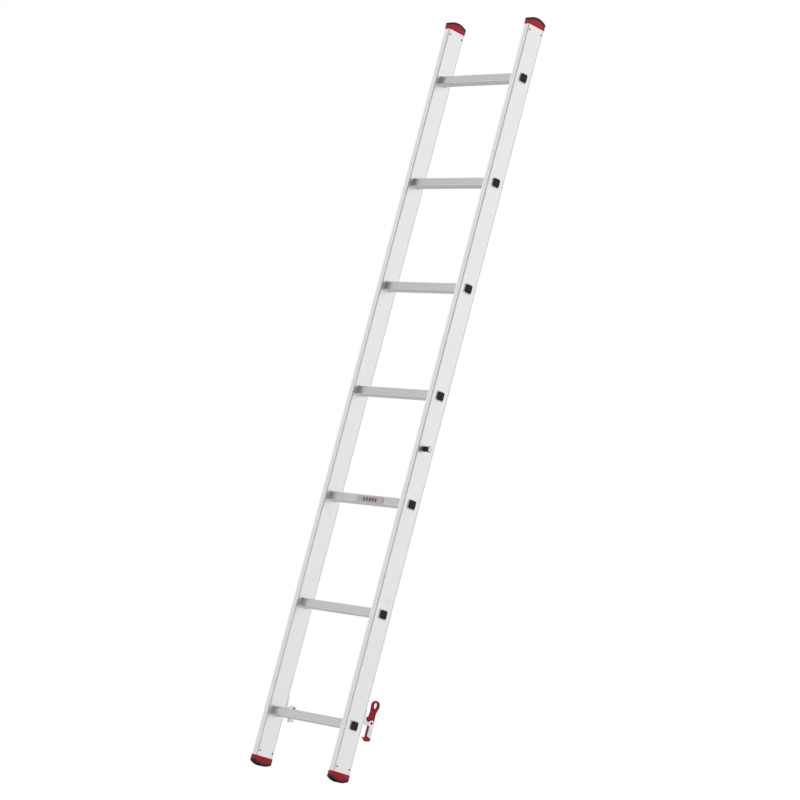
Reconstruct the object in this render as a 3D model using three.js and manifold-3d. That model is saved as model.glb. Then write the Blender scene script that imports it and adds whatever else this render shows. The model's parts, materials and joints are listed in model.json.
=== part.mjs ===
// One section of an extension ladder: two box-section stiles, seven square rungs swaged through them,
// an arched two-colour cap on each stile end, a guide stud on the right outer face and two hanging hooks at
// the back of the lowest rung, one of them with a spring-loaded latch lever.
// Millimetres, +Z up the stiles, +X to the climber's right, +Y away from the climber.
import * as THREE from "three";
import { mergeVertices } from "three/addons/utils/BufferGeometryUtils.js";
import Module from "manifold-3d";

const wasm = await Module();
wasm.setup();

// ---------------------------------------------------------------- driving dimensions
const RUNG_COUNT = 7;
const RUNG_PITCH = 280;
const CLEAR_WIDTH = 280; // between the stiles' inner faces
const LOWER_END = 118; // lowest rung's centre above the stile's lower end
const UPPER_END = 137; // highest rung's centre below the stile's upper end

const STILE_WIDTH = 17.5;
const STILE_DEPTH = 55;
const STILE_WALL = 1.8;
const STILE_CORNER = 1.6;
const STILE_GROOVE = { width: 1.4, depth: 0.8, slope: 0.2 };
const STILE_GROOVE_EDGE = 2.9; // groove centre from the corner of each wide face

const RUNG_SIZE = 23;
const RUNG_WALL = 1.8;
const RUNG_CORNER = 3;
const SWAGE_RISE = 1.7; // how far the formed collars stand above the rung
const SWAGE_INNER = 3;
const SWAGE_OUTER = 1.2;

const PLUG_REVEAL = 0.8; // rung left showing on each side of the plug's face
const PLUG_THICK = 1.6;
const PLUG_DEPTH = 11;
const PLUG_EDGE = 0.6;

const CAP_CREST = 24; // from the stile's end to the crest of the arch
const CAP_SHOULDER = 16; // from the stile's end to the ends of the arch
const CAP_PROUD = 0.5;
const TREAD_THICK = 6;
const CAP_TENON = 27;
const CAP_LAND = 12; // solid length at each end of the tenon, which takes the rivets
const TENON_WALL = 2;
const ARCH_STEPS = 13; // odd, so the crest is a flat facet

const CAP_RIVET_RADIUS = 1.6;
const CAP_RIVET_HEAD = 2.6;
const CAP_RIVET_RISE = 0.9;
const CAP_RIVET_LEVEL = 13; // from the stile's end
const CAP_RIVET_FRONT = 8; // from the stile's front face
const CAP_RIVET_BACK = 5; // from the stile's back face

const STUD_RUN = 20; // length of the sleeve on the guide stud
const STUD_SLEEVE = 7;
const STUD_FLANGE = 8;
const STUD_FLANGE_THICK = 2.6;
const STUD_FLANGE_EDGE = 0.5;
const STUD_SHANK = 4;
const STUD_HEAD = 7.2;
const STUD_HEAD_RISE = 1.4;
const STUD_BULB = 5.6;
const STUD_BULB_THICK = 3;
const STUD_Y = -5; // from the stile's centre plane
const STUD_GAP = 3; // the stud sits between this rung and the next
const STUD_LIFT = 2; // and this far above the middle between the two

const LEVER_THICK = 5;
const HANDLE_THICK = 6;
const HANDLE_RADIUS = 12.6;
const HANDLE_RISE = 44.3; // handle's centre above the pivot
const HANDLE_SET = 2.8; // and behind it
const NECK_HALF = 9.9;
const NECK_WAIST = 1.3; // how far each side of the neck draws in towards the round end
const NECK_REACH = 0.6; // height of that waist, as a share of HANDLE_RISE
const NECK_BLEND = 0.35; // radians below level at which the round end begins
const HANDLE_CLEAR = 2.8; // between the hook's boss and the handle
const FINGER_SLOT = { radius: 6, reach: 1.5 }; // reach: from the handle's centre to each end's centre
const BLADE_LAP = 2; // how far the blade runs on into the handle and into the foot
const LEG_BACK = 11; // from the pivot to the back edge of the lever's leg
const PIVOT_BEHIND = 4.5; // from the back of the throat
const PIVOT_ABOVE = 7.2; // from the throat's roof
const PIN_RADIUS = 2.5;
const PIN_HEAD = 3.4;
const PIN_HEAD_RISE = 1.1;
const CHEEK = 3;
const BOSS_RADIUS = 7;
const ROOF_THICK = 3;
const SLOT_START = 6; // from the stile's back face to the slot above the roof
const SLOT_LAP = 0.4; // how far the lower slot runs into the throat
const ARM_HEIGHT = 8.5;
const HOOK_LEG_BELOW = 4.5; // how far the leg reaches below the rung in the throat
const HOOK_LEG_BACK = 8.5; // from the pivot to the leg's back edge
const HOOK_LEG_SET = 1.5; // the cheeks stand this far behind the lever's leg
const HOOK_LEG_ROUND = 3;
const FLANGE_MARGIN = 0.75; // stile left showing on each side of the flange
const FLANGE_THICK = 3;
const FLANGE_HEIGHT = 34.5;
const HUMP_ABOVE = 11; // the spring's upper seat above the throat's roof
const HUMP_GAP = 14.4; // from the stile's back face
const HUMP_CHAMFER = 2;
const TOE_GAP = 15; // from the stile's back face
const TOE_LENGTH = 12.4; // from the tip to the foot's lowest point
const FOOT_DEPTH = 10;
const FOOT_HEEL = 12.2; // from the pivot
const FOOT_GAP = 1.3; // below the hook's leg
const FOOT_THICK = 6;
const THROAT_PLAY = 1; // the throat is this much deeper than a rung
const SPRING_RADIUS = 1.8;
const SPRING_WIRE = 0.4;
const SPRING_TURNS = 4;
const SPRING_SET = 6.6; // from the throat's back to the spring's axis

const HOOK_RIVET_RADIUS = 2.4;
const HOOK_RIVET_HEAD = 4.6;
const HOOK_RIVET_RISE = 2.2;
const HOOK_RIVET_TAIL = 3.4;
const HOOK_RIVET_LEVELS = [17.5, 28.5]; // above the throat's roof

const LABEL_LENGTH = 100;
const LABEL_HEIGHT = 17;
const LABEL_THICK = 0.3;
const LABEL_RUNG = 3;
const LABEL_X = 13; // right of the middle of its rung

// Facets of a full round: small ones for rivets, fine ones for the latch's pin and bore.
const SMALL_ROUND = 10;
const ROUND = 18;
const FINE_ROUND = 24;

// The smallest rounding of a cavity's or a tenon's corner, and how far a cutter overshoots what it cuts.
const LEAST_CORNER = 0.8;
const OVER = 1;

// Clearances.
const FIT = 0.3; // between a piece and the hole or cavity it sits in
const SEAT = 0.1; // between flat faces that rest on each other
const RUN = 0.1; // radial clearance of the latch's bore on its pin
const SIDE_PLAY = 0.4; // each side of the lever between the hook's cheeks

// ---------------------------------------------------------------- derived places
const OUTER_X = CLEAR_WIDTH / 2 + STILE_WIDTH;
const STILE_X = CLEAR_WIDTH / 2 + STILE_WIDTH / 2;
const STILE_LENGTH = LOWER_END + UPPER_END + (RUNG_COUNT - 1) * RUNG_PITCH;
const STILE_BOTTOM = CAP_CREST;
const STILE_TOP = STILE_BOTTOM + STILE_LENGTH;
const FIRST_RUNG = STILE_BOTTOM + LOWER_END;
const BACK_Y = STILE_DEPTH / 2;
const CAVITY_WIDTH = STILE_WIDTH - 2 * STILE_WALL;
const CAVITY_DEPTH = STILE_DEPTH - 2 * STILE_WALL;
const CAVITY_CORNER = Math.max(STILE_CORNER - STILE_WALL, LEAST_CORNER);
const STUD_Z = FIRST_RUNG + (STUD_GAP - 0.5) * RUNG_PITCH + STUD_LIFT;
const PLUG_FACE = RUNG_SIZE - 2 * PLUG_REVEAL;
// The throat takes a rung of the section that this one hangs on, level with the lowest rung.
const THROAT = RUNG_SIZE + THROAT_PLAY;
const THROAT_TOP = RUNG_SIZE / 2;
const PIVOT_BACK = THROAT + PIVOT_BEHIND;
const PIVOT_UP = THROAT_TOP + PIVOT_ABOVE;
const HOOK_LEG_DROP = PIVOT_UP + RUNG_SIZE / 2 + HOOK_LEG_BELOW;
const FLANGE_WIDTH = STILE_WIDTH - 2 * FLANGE_MARGIN;
const SLOT_HALF = LEVER_THICK / 2 + SIDE_PLAY;
const HOOK_HALF = SLOT_HALF + CHEEK;
const PIVOT_Y = BACK_Y + PIVOT_BACK;
const PIVOT_Z = FIRST_RUNG + PIVOT_UP;
const HANDLE_BACK = BACK_Y + PIVOT_BACK + HANDLE_SET + HANDLE_RADIUS;
const PLUG_END = OUTER_X + SEAT + SWAGE_OUTER + SEAT + PLUG_THICK;
const STUD_END = OUTER_X + SEAT + STUD_RUN + SEAT + STUD_HEAD_RISE;
// The part's origin is the centre of its outer box, at foot level.
const ORIGIN_X = (STUD_END - PLUG_END) / 2;
const ORIGIN_Y = (HANDLE_BACK - (STILE_DEPTH / 2 + CAP_PROUD)) / 2;

// ---------------------------------------------------------------- materials
const finish = (color, roughness, metalness) =>
  new THREE.MeshStandardMaterial({ color, roughness, metalness });
const ALUMINIUM = finish(0xd9dadb, 0.32, 1);
const RUNG_ALUMINIUM = finish(0xc4c5c6, 0.38, 1);
const CAST_ALUMINIUM = finish(0xcfd0d1, 0.5, 1);
const BLACK_PLASTIC = finish(0x1a1a1b, 0.45, 0);
const RED_PLASTIC = finish(0xa81f26, 0.4, 0);
const BLACK_RUBBER = finish(0x202122, 0.8, 0);
const STEEL = finish(0x8c8e90, 0.35, 1);
const DARK_STEEL = finish(0x3c3a3b, 0.5, 1);
const LABEL_FILM = finish(0xd9d4d2, 0.5, 0);

// ---------------------------------------------------------------- solids
// A closed geometry as a solid, its shared corners merged.
function toSolid(geometry) {
  const bare = geometry.index ? geometry.toNonIndexed() : geometry.clone();
  bare.deleteAttribute("normal");
  bare.deleteAttribute("uv");
  const merged = mergeVertices(bare, 1e-4);
  return new wasm.Manifold(
    new wasm.Mesh({
      numProp: 3,
      vertProperties: new Float32Array(merged.attributes.position.array),
      triVerts: new Uint32Array(merged.index.array),
    }),
  );
}

function toGeometry(solid) {
  const mesh = solid.getMesh();
  const geometry = new THREE.BufferGeometry();
  geometry.setAttribute("position", new THREE.BufferAttribute(mesh.vertProperties, 3));
  geometry.setIndex(new THREE.BufferAttribute(mesh.triVerts, 1));
  geometry.computeVertexNormals();
  return geometry;
}

const joinAll = (solids) => solids.reduce((sum, solid) => sum.add(solid));
const cutAll = (solid, cutters) => cutters.reduce((rest, cutter) => rest.subtract(cutter), solid);

// The outline's two axes become Y and Z, and it is drawn out along X from `from` to `to`.
const ALONG_X = new THREE.Matrix4().makeBasis(
  new THREE.Vector3(0, 1, 0),
  new THREE.Vector3(0, 0, 1),
  new THREE.Vector3(1, 0, 0),
);
function extrudeX(shape, from, to, curveSegments = 2) {
  const options = { depth: to - from, bevelEnabled: false, curveSegments };
  const geometry = new THREE.ExtrudeGeometry(shape, options).translate(0, 0, from);
  return toSolid(geometry.applyMatrix4(ALONG_X));
}

// The outline lies in X and Y, and it is drawn out along Z.
function extrudeZ(shape, from, to, curveSegments = 2) {
  const options = { depth: to - from, bevelEnabled: false, curveSegments };
  return toSolid(new THREE.ExtrudeGeometry(shape, options).translate(0, 0, from));
}

// A turned piece about the X axis. Each point of the profile is [x, radius], and its ends are on the axis.
function turnX(profile, segments = ROUND) {
  const points = profile.map(([x, radius]) => new THREE.Vector2(radius, x));
  const geometry = new THREE.LatheGeometry(points, segments);
  return toSolid(geometry.rotateZ(-Math.PI / 2));
}

function box(low, high) {
  const size = high.map((value, axis) => value - low[axis]);
  const centre = high.map((value, axis) => (value + low[axis]) / 2);
  return toSolid(new THREE.BoxGeometry(...size).translate(...centre));
}

const rodX = (radius, from, to, y, z, segments = ROUND) =>
  turnX([[from, 0], [from, radius], [to, radius], [to, 0]], segments).translate([0, y, z]);

// A rod along Y, for rivets and their holes in a narrow face.
function turnY(profile, segments = SMALL_ROUND) {
  const points = profile.map(([y, radius]) => new THREE.Vector2(radius, y));
  return toSolid(new THREE.LatheGeometry(points, segments));
}

// Rounded rectangle whose sides carry lengthwise grooves. `marks` lists, for each side, the groove
// centres from the middle of that side. The sides run front, right, back, left.
function groovedOutline(width, height, radius, marks, groove) {
  const shape = new THREE.Shape();
  for (let side = 0; side < 4; side++) {
    const turn = (side * Math.PI) / 2;
    const along = new THREE.Vector2(Math.cos(turn), Math.sin(turn));
    const out = new THREE.Vector2(Math.sin(turn), -Math.cos(turn));
    const reach = side % 2 ? width / 2 : height / 2;
    const half = (side % 2 ? height : width) / 2 - radius;
    const place = (t, depth) => [
      along.x * t + out.x * (reach - depth),
      along.y * t + out.y * (reach - depth),
    ];
    if (side === 0) shape.moveTo(...place(-half, 0));
    for (const mark of marks[side]) {
      shape.lineTo(...place(mark - groove.width / 2, 0));
      shape.lineTo(...place(mark - groove.width / 2 + groove.slope, groove.depth));
      shape.lineTo(...place(mark + groove.width / 2 - groove.slope, groove.depth));
      shape.lineTo(...place(mark + groove.width / 2, 0));
    }
    shape.lineTo(...place(half, 0));
    const [cx, cy] = place(half, radius);
    shape.absarc(cx, cy, radius, turn - Math.PI / 2, turn, false);
  }
  return shape;
}

const PLAIN = [[], [], [], []];
const roundedRect = (width, height, radius) => groovedOutline(width, height, radius, PLAIN, {});

// ---------------------------------------------------------------- stiles
const rungLevels = Array.from({ length: RUNG_COUNT }, (_, i) => FIRST_RUNG + i * RUNG_PITCH);
const capRivetYs = [-STILE_DEPTH / 2 + CAP_RIVET_FRONT, STILE_DEPTH / 2 - CAP_RIVET_BACK];

// The stile stands about x = 0. `outward` is +1 where its outer face looks along +X.
function stileSolid(outward) {
  const wide = STILE_DEPTH / 2 - STILE_GROOVE_EDGE;
  const marks = [[0], [-wide, wide], [0], [-wide, wide]];
  const outer = groovedOutline(STILE_WIDTH, STILE_DEPTH, STILE_CORNER, marks, STILE_GROOVE);
  outer.holes.push(roundedRect(CAVITY_WIDTH, CAVITY_DEPTH, CAVITY_CORNER));
  const bar = extrudeZ(outer, STILE_BOTTOM, STILE_TOP);
  const through = STILE_WIDTH / 2 + OVER;
  const hole = roundedRect(RUNG_SIZE + 2 * FIT, RUNG_SIZE + 2 * FIT, RUNG_CORNER + FIT);
  const rungHole = extrudeX(hole, -through, through);
  const cutters = rungLevels.map((z) => rungHole.translate([0, 0, z]));
  for (const z of [STILE_BOTTOM + CAP_RIVET_LEVEL, STILE_TOP - CAP_RIVET_LEVEL])
    for (const y of capRivetYs)
      cutters.push(rodX(CAP_RIVET_RADIUS + FIT / 2, -through, through, y, z, SMALL_ROUND));
  if (outward > 0) cutters.push(rodX(STUD_SHANK + FIT / 2, 0, through, STUD_Y, STUD_Z));
  const r = HOOK_RIVET_RADIUS + FIT / 2;
  for (const level of HOOK_RIVET_LEVELS) {
    const drilled = turnY([[0, 0], [0, r], [BACK_Y + OVER, r], [BACK_Y + OVER, 0]]);
    cutters.push(drilled.translate([0, 0, FIRST_RUNG + THROAT_TOP + level]));
  }
  return cutAll(bar, cutters);
}

// ---------------------------------------------------------------- rungs and their plugs
function rungSolid() {
  const inner = CLEAR_WIDTH / 2 - SEAT - SWAGE_INNER;
  const outer = OUTER_X + SEAT + SWAGE_OUTER;
  const plain = roundedRect(RUNG_SIZE, RUNG_SIZE, RUNG_CORNER);
  const collarSize = RUNG_SIZE + 2 * SWAGE_RISE;
  const collar = roundedRect(collarSize, collarSize, RUNG_CORNER + SWAGE_RISE);
  const tube = extrudeX(plain, -outer, outer);
  const collars = joinAll([
    extrudeX(collar, inner, inner + SWAGE_INNER),
    extrudeX(collar, outer - SWAGE_OUTER, outer),
  ]);
  const boreSize = RUNG_SIZE - 2 * RUNG_WALL;
  const bore = roundedRect(boreSize, boreSize, Math.max(RUNG_CORNER - RUNG_WALL, LEAST_CORNER));
  const whole = joinAll([tube, collars, collars.mirror([1, 0, 0])]);
  return whole.subtract(extrudeX(bore, -outer - OVER, outer + OVER));
}

// Plug for the right-hand end of a rung: a face with a softened edge and a stem in the bore.
function plugSolid() {
  const seat = OUTER_X + SEAT + SWAGE_OUTER + SEAT;
  const stemSize = RUNG_SIZE - 2 * RUNG_WALL - 2 * FIT;
  const face = roundedRect(PLUG_FACE, PLUG_FACE, RUNG_CORNER);
  const options = {
    depth: PLUG_THICK - PLUG_EDGE,
    bevelThickness: PLUG_EDGE,
    bevelSize: PLUG_EDGE,
    bevelOffset: -PLUG_EDGE,
    bevelSegments: 1,
    curveSegments: 2,
  };
  const soft = toSolid(new THREE.ExtrudeGeometry(face, options).applyMatrix4(ALONG_X));
  const behindSeat = box([-PLUG_FACE, -PLUG_FACE, -PLUG_FACE], [0, PLUG_FACE, PLUG_FACE]);
  const head = soft.subtract(behindSeat).translate([seat, 0, 0]);
  const stemOutline = roundedRect(stemSize, stemSize, 1);
  const stem = extrudeX(stemOutline, seat - PLUG_DEPTH, seat + PLUG_THICK / 2, 1);
  return head.add(stem);
}

// ---------------------------------------------------------------- end caps and treads
// Points of the arch from front to back, `lift` above the tread's outer face. The stile's end is z = 0.
function archPoints(lift) {
  const half = STILE_DEPTH / 2 + CAP_PROUD;
  const drop = CAP_CREST - CAP_SHOULDER;
  const radius = (half * half + drop * drop) / (2 * drop);
  const spread = Math.asin(half / radius);
  return Array.from({ length: ARCH_STEPS + 1 }, (_, i) => {
    const angle = spread * ((2 * i) / ARCH_STEPS - 1);
    const z = -CAP_CREST + radius - radius * Math.cos(angle) + lift;
    return new THREE.Vector2(radius * Math.sin(angle), z);
  });
}

const CREST_SAG = -CAP_CREST - Math.min(...archPoints(0).map((point) => point.y));

// A lower cap, about x = 0 with the stile's end at z = 0: an arched body and a tenon up the stile.
function capSolid() {
  const half = STILE_DEPTH / 2 + CAP_PROUD;
  const arch = archPoints(TREAD_THICK + SEAT + CREST_SAG);
  const outline = new THREE.Shape([
    new THREE.Vector2(-half, -SEAT),
    ...arch,
    new THREE.Vector2(half, -SEAT),
  ]);
  const halfWidth = STILE_WIDTH / 2 + CAP_PROUD;
  const body = extrudeX(outline, -halfWidth, halfWidth);
  const width = CAVITY_WIDTH - 2 * FIT;
  const depth = CAVITY_DEPTH - 2 * FIT;
  const tenon = extrudeZ(roundedRect(width, depth, LEAST_CORNER), -1, CAP_TENON);
  const wall = TENON_WALL;
  const recess = box(
    [-width / 2 + wall, -depth / 2 + CAP_LAND, wall],
    [width / 2 - wall, depth / 2 - CAP_LAND, CAP_TENON + OVER],
  );
  const holes = capRivetYs.map((y) =>
    rodX(CAP_RIVET_RADIUS + FIT / 2, -STILE_WIDTH, STILE_WIDTH, y, CAP_RIVET_LEVEL, SMALL_ROUND),
  );
  return cutAll(body.add(tenon), [recess, ...holes]);
}

function treadSolid() {
  const lower = archPoints(CREST_SAG);
  const upper = archPoints(TREAD_THICK + CREST_SAG).reverse();
  const halfWidth = STILE_WIDTH / 2 + CAP_PROUD;
  return extrudeX(new THREE.Shape([...lower, ...upper]), -halfWidth, halfWidth);
}

// A rivet through the whole stile, about x = 0.
function capRivetSolid() {
  const grip = STILE_WIDTH / 2 + SEAT;
  const rise = CAP_RIVET_RISE;
  const head = CAP_RIVET_HEAD;
  const half = [[grip, CAP_RIVET_RADIUS], [grip, head], [grip + rise / 2, head], [grip + rise, head / 2]];
  const other = half.map(([x, radius]) => [-x, radius]).reverse();
  return turnX([[-grip - rise, 0], ...other, ...half, [grip + rise, 0]], SMALL_ROUND);
}

// ---------------------------------------------------------------- guide stud
// Both pieces stand on the right-hand stile, whose outer face is at OUTER_X.
function sleeveSolid() {
  const start = OUTER_X + SEAT;
  const end = start + STUD_RUN;
  const neck = end - STUD_FLANGE_THICK;
  const edge = STUD_FLANGE_EDGE;
  const profile = [
    [start, 0],
    [start, STUD_SLEEVE],
    [neck, STUD_SLEEVE],
    [neck, STUD_FLANGE - edge],
    [neck + edge, STUD_FLANGE],
    [end - edge, STUD_FLANGE],
    [end, STUD_FLANGE - edge],
    [end, 0],
  ];
  const bore = rodX(STUD_SHANK + FIT / 2, start - OVER, end + OVER, 0, 0);
  return turnX(profile).subtract(bore);
}

function studSolid() {
  const outer = OUTER_X + SEAT + STUD_RUN + SEAT;
  const inner = OUTER_X - STILE_WALL - SEAT;
  const profile = [
    [inner - STUD_BULB_THICK, 0],
    [inner - STUD_BULB_THICK, STUD_BULB],
    [inner, STUD_BULB],
    [inner, STUD_SHANK],
    [outer, STUD_SHANK],
    [outer, STUD_HEAD],
    [outer + STUD_HEAD_RISE * 0.6, STUD_HEAD],
    [outer + STUD_HEAD_RISE, STUD_HEAD * 0.8],
    [outer + STUD_HEAD_RISE, STUD_HEAD * 0.45],
    [outer + STUD_HEAD_RISE * 0.4, STUD_HEAD * 0.4],
    [outer + STUD_HEAD_RISE * 0.4, 0],
  ];
  return turnX(profile);
}

// ---------------------------------------------------------------- hooks and latch
// These are drawn about the pivot: the outline's first axis runs back, its second up.
const backFace = -PIVOT_BACK;
const rungAxis = -PIVOT_UP;
const throatBack = backFace + THROAT;
const throatTop = rungAxis + THROAT_TOP;
const roofTop = throatTop + ROOF_THICK;
const legBottom = -HOOK_LEG_DROP;

// One cheek's outline: an arm from the stile to the boss, and a leg down behind the throat.
function hookOutline() {
  const legFront = throatBack + HOOK_LEG_SET;
  const armTop = throatTop + ARM_HEIGHT;
  const round = HOOK_LEG_ROUND;
  const shape = new THREE.Shape();
  shape.moveTo(backFace + SEAT, throatTop);
  shape.lineTo(legFront - round, throatTop);
  shape.absarc(legFront - round, throatTop - round, round, Math.PI / 2, 0, true);
  shape.lineTo(legFront, legBottom + round);
  shape.absarc(legFront + round, legBottom + round, round, Math.PI, 1.5 * Math.PI, false);
  shape.lineTo(HOOK_LEG_BACK - round, legBottom);
  shape.absarc(HOOK_LEG_BACK - round, legBottom + round, round, 1.5 * Math.PI, 2 * Math.PI, false);
  shape.lineTo(HOOK_LEG_BACK, -BOSS_RADIUS);
  shape.absarc(0, 0, BOSS_RADIUS, 0, 0.8 * Math.PI, false);
  shape.lineTo(-BOSS_RADIUS * 1.7, armTop);
  shape.lineTo(backFace + SEAT, armTop);
  return shape;
}

function hookSolid() {
  const arm = extrudeX(hookOutline(), -HOOK_HALF, HOOK_HALF, 6);
  const flange = box(
    [-FLANGE_WIDTH / 2, backFace + SEAT, throatTop],
    [FLANGE_WIDTH / 2, backFace + SEAT + FLANGE_THICK, throatTop + FLANGE_HEIGHT],
  );
  const far = HANDLE_RISE; // past every edge of the hook
  const upperSlot = box([-SLOT_HALF, backFace + SLOT_START, roofTop], [SLOT_HALF, far, far]);
  const lowerSlot = box([-SLOT_HALF, throatBack - SLOT_LAP, -far], [SLOT_HALF, far, roofTop + OVER]);
  const bore = rodX(PIN_RADIUS + RUN, -HOOK_HALF - OVER, HOOK_HALF + OVER, 0, 0, FINE_ROUND);
  const r = HOOK_RIVET_RADIUS + FIT / 2;
  const holes = HOOK_RIVET_LEVELS.map((level) =>
    turnY([[0, 0], [0, r], [FLANGE_THICK + OVER, r], [FLANGE_THICK + OVER, 0]]).translate([
      0,
      backFace,
      throatTop + level,
    ]),
  );
  return cutAll(arm.add(flange), [upperSlot, lowerSlot, bore, ...holes]);
}

// Blind rivet through the hook's flange and the stile's back wall, its axis along Y from the back face.
function hookRivetSolid() {
  const seat = SEAT + FLANGE_THICK + SEAT;
  const wall = -STILE_WALL - SEAT;
  const tail = HOOK_RIVET_RADIUS + 0.9;
  const profile = [
    [wall - HOOK_RIVET_TAIL, 0],
    [wall - HOOK_RIVET_TAIL, HOOK_RIVET_RADIUS],
    [wall - HOOK_RIVET_TAIL * 0.6, tail],
    [wall, tail],
    [wall, HOOK_RIVET_RADIUS],
    [seat, HOOK_RIVET_RADIUS],
    [seat, HOOK_RIVET_HEAD],
    [seat + HOOK_RIVET_RISE * 0.5, HOOK_RIVET_HEAD * 0.85],
    [seat + HOOK_RIVET_RISE, HOOK_RIVET_HEAD * 0.4],
    [seat + HOOK_RIVET_RISE, 0],
  ];
  return turnY(profile);
}

const handleLow = BOSS_RADIUS + HANDLE_CLEAR;
const humpLow = throatTop + HUMP_ABOVE;

// The handle: a neck that draws in a little, then swells into a round end. Its middle line leans back as
// the square of the height.
function handleOutline() {
  const waist = NECK_HALF - NECK_WAIST;
  const waistHigh = HANDLE_RISE * NECK_REACH;
  const lean = HANDLE_SET * NECK_REACH ** 2;
  const shape = new THREE.Shape();
  shape.moveTo(NECK_HALF, handleLow);
  shape.lineTo(lean + waist, waistHigh);
  shape.absarc(HANDLE_SET, HANDLE_RISE, HANDLE_RADIUS, -NECK_BLEND, Math.PI + NECK_BLEND, false);
  shape.lineTo(lean - waist, waistHigh);
  shape.lineTo(-NECK_HALF, handleLow);
  return shape;
}

// The thin part between the cheeks: neck, front hump over the spring, and a leg whose back edge stands
// out behind the cheeks. Its upper edge is inside the handle and its lower edge inside the foot.
function bladeOutline() {
  const legFront = throatBack;
  const legLow = legBottom - BLADE_LAP;
  const hump = backFace + HUMP_GAP;
  const shape = new THREE.Shape();
  shape.moveTo(legFront, legLow);
  shape.lineTo(LEG_BACK, legLow);
  shape.lineTo(LEG_BACK, 0);
  shape.lineTo(NECK_HALF, handleLow);
  shape.lineTo(NECK_HALF, handleLow + BLADE_LAP);
  shape.lineTo(-NECK_HALF, handleLow + 3 * BLADE_LAP);
  shape.lineTo(hump, handleLow + BLADE_LAP);
  shape.lineTo(hump, humpLow + HUMP_CHAMFER);
  shape.lineTo(hump + HUMP_CHAMFER, humpLow);
  shape.lineTo(legFront, humpLow);
  return shape;
}

// The foot: a toe that reaches forward under the rung. Its curves are drawn in shares of the toe's
// length and the foot's depth.
function footOutline() {
  const top = legBottom - FOOT_GAP;
  const toe = backFace + TOE_GAP;
  const along = (share) => toe + share * TOE_LENGTH;
  const down = (share) => top - share * FOOT_DEPTH;
  const shape = new THREE.Shape();
  shape.moveTo(toe, down(0.24));
  shape.quadraticCurveTo(along(0.33), down(0.3), along(0.53), down(0.7));
  shape.quadraticCurveTo(along(0.73), down(1.05), along(1), down(1));
  shape.lineTo(FOOT_HEEL - 3, down(0.75));
  shape.quadraticCurveTo(FOOT_HEEL, down(0.65), FOOT_HEEL, down(0.3));
  shape.lineTo(FOOT_HEEL, top);
  shape.lineTo(along(0.67), top);
  shape.lineTo(toe, down(0.12));
  return shape;
}

function fingerSlot(margin) {
  const { radius, reach } = FINGER_SLOT;
  const half = HANDLE_THICK / 2 + margin;
  const shape = new THREE.Shape();
  shape.absarc(HANDLE_SET, HANDLE_RISE + reach, radius, 0, Math.PI, false);
  shape.absarc(HANDLE_SET, HANDLE_RISE - reach, radius, Math.PI, 2 * Math.PI, false);
  return extrudeX(shape, -half, half, 6);
}

function leverSolid() {
  const handle = extrudeX(handleOutline(), -HANDLE_THICK / 2, HANDLE_THICK / 2, 14);
  const blade = extrudeX(bladeOutline(), -LEVER_THICK / 2, LEVER_THICK / 2, 6);
  const foot = extrudeX(footOutline(), -FOOT_THICK / 2, FOOT_THICK / 2, 6);
  const bore = rodX(PIN_RADIUS + RUN, -LEVER_THICK, LEVER_THICK, 0, 0, FINE_ROUND);
  return cutAll(joinAll([handle, blade, foot]), [fingerSlot(OVER), bore]);
}

function pinSolid() {
  const grip = HOOK_HALF + SEAT;
  const half = [
    [grip, PIN_RADIUS],
    [grip, PIN_HEAD],
    [grip + PIN_HEAD_RISE * 0.6, PIN_HEAD],
    [grip + PIN_HEAD_RISE, PIN_HEAD * 0.7],
  ];
  const other = half.map(([x, radius]) => [-x, radius]).reverse();
  const outer = grip + PIN_HEAD_RISE;
  return turnX([[-outer, 0], ...other, ...half, [outer, 0]], FINE_ROUND);
}

// A rising helix whose axis is vertical.
class Helix extends THREE.Curve {
  constructor(radius, height, turns) {
    super();
    Object.assign(this, { radius, height, turns });
  }
  getPoint(t, target = new THREE.Vector3()) {
    const angle = 2 * Math.PI * this.turns * t;
    const { radius, height } = this;
    return target.set(radius * Math.cos(angle), radius * Math.sin(angle), height * t);
  }
}

function springSolid() {
  const low = roofTop + SEAT + SPRING_WIRE;
  const high = humpLow - SEAT - SPRING_WIRE;
  const section = new THREE.Shape();
  section.absarc(0, 0, SPRING_WIRE, 0, 2 * Math.PI, false);
  const extrudePath = new Helix(SPRING_RADIUS, high - low, SPRING_TURNS);
  const options = { steps: 10 * SPRING_TURNS, extrudePath, curveSegments: 3 };
  const coil = toSolid(new THREE.ExtrudeGeometry(section, options));
  return coil.translate([0, throatBack - SPRING_SET, low]);
}

// ---------------------------------------------------------------- the assembly
const ladder = new THREE.Group();
ladder.position.set(-ORIGIN_X, -ORIGIN_Y, 0);

function addPiece(name, solid, material, place = [0, 0, 0], turn = [0, 0, 0]) {
  const mesh = new THREE.Mesh(toGeometry(solid), material);
  mesh.name = name;
  mesh.position.set(...place);
  mesh.rotation.set(...turn);
  ladder.add(mesh);
}

const SIDES = [
  { side: "left", sign: -1, turn: Math.PI },
  { side: "right", sign: 1, turn: 0 },
];

function addStiles() {
  for (const { side, sign } of SIDES)
    addPiece(`stile_${side}`, stileSolid(sign), ALUMINIUM, [sign * STILE_X, 0, 0]);
}

function addRungs() {
  const rung = rungSolid();
  const plug = plugSolid();
  rungLevels.forEach((z, i) => {
    addPiece(`rung_${i + 1}`, rung, RUNG_ALUMINIUM, [0, 0, z]);
    for (const { side, turn } of SIDES)
      addPiece(`rung_${i + 1}_plug_${side}`, plug, BLACK_PLASTIC, [0, 0, z], [0, turn, 0]);
  });
  const y = -RUNG_SIZE / 2 - SEAT;
  const label = box(
    [-LABEL_LENGTH / 2, y - LABEL_THICK, -LABEL_HEIGHT / 2],
    [LABEL_LENGTH / 2, y, LABEL_HEIGHT / 2],
  );
  addPiece("rung_label", label, LABEL_FILM, [LABEL_X, 0, rungLevels[LABEL_RUNG - 1]]);
}

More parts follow.
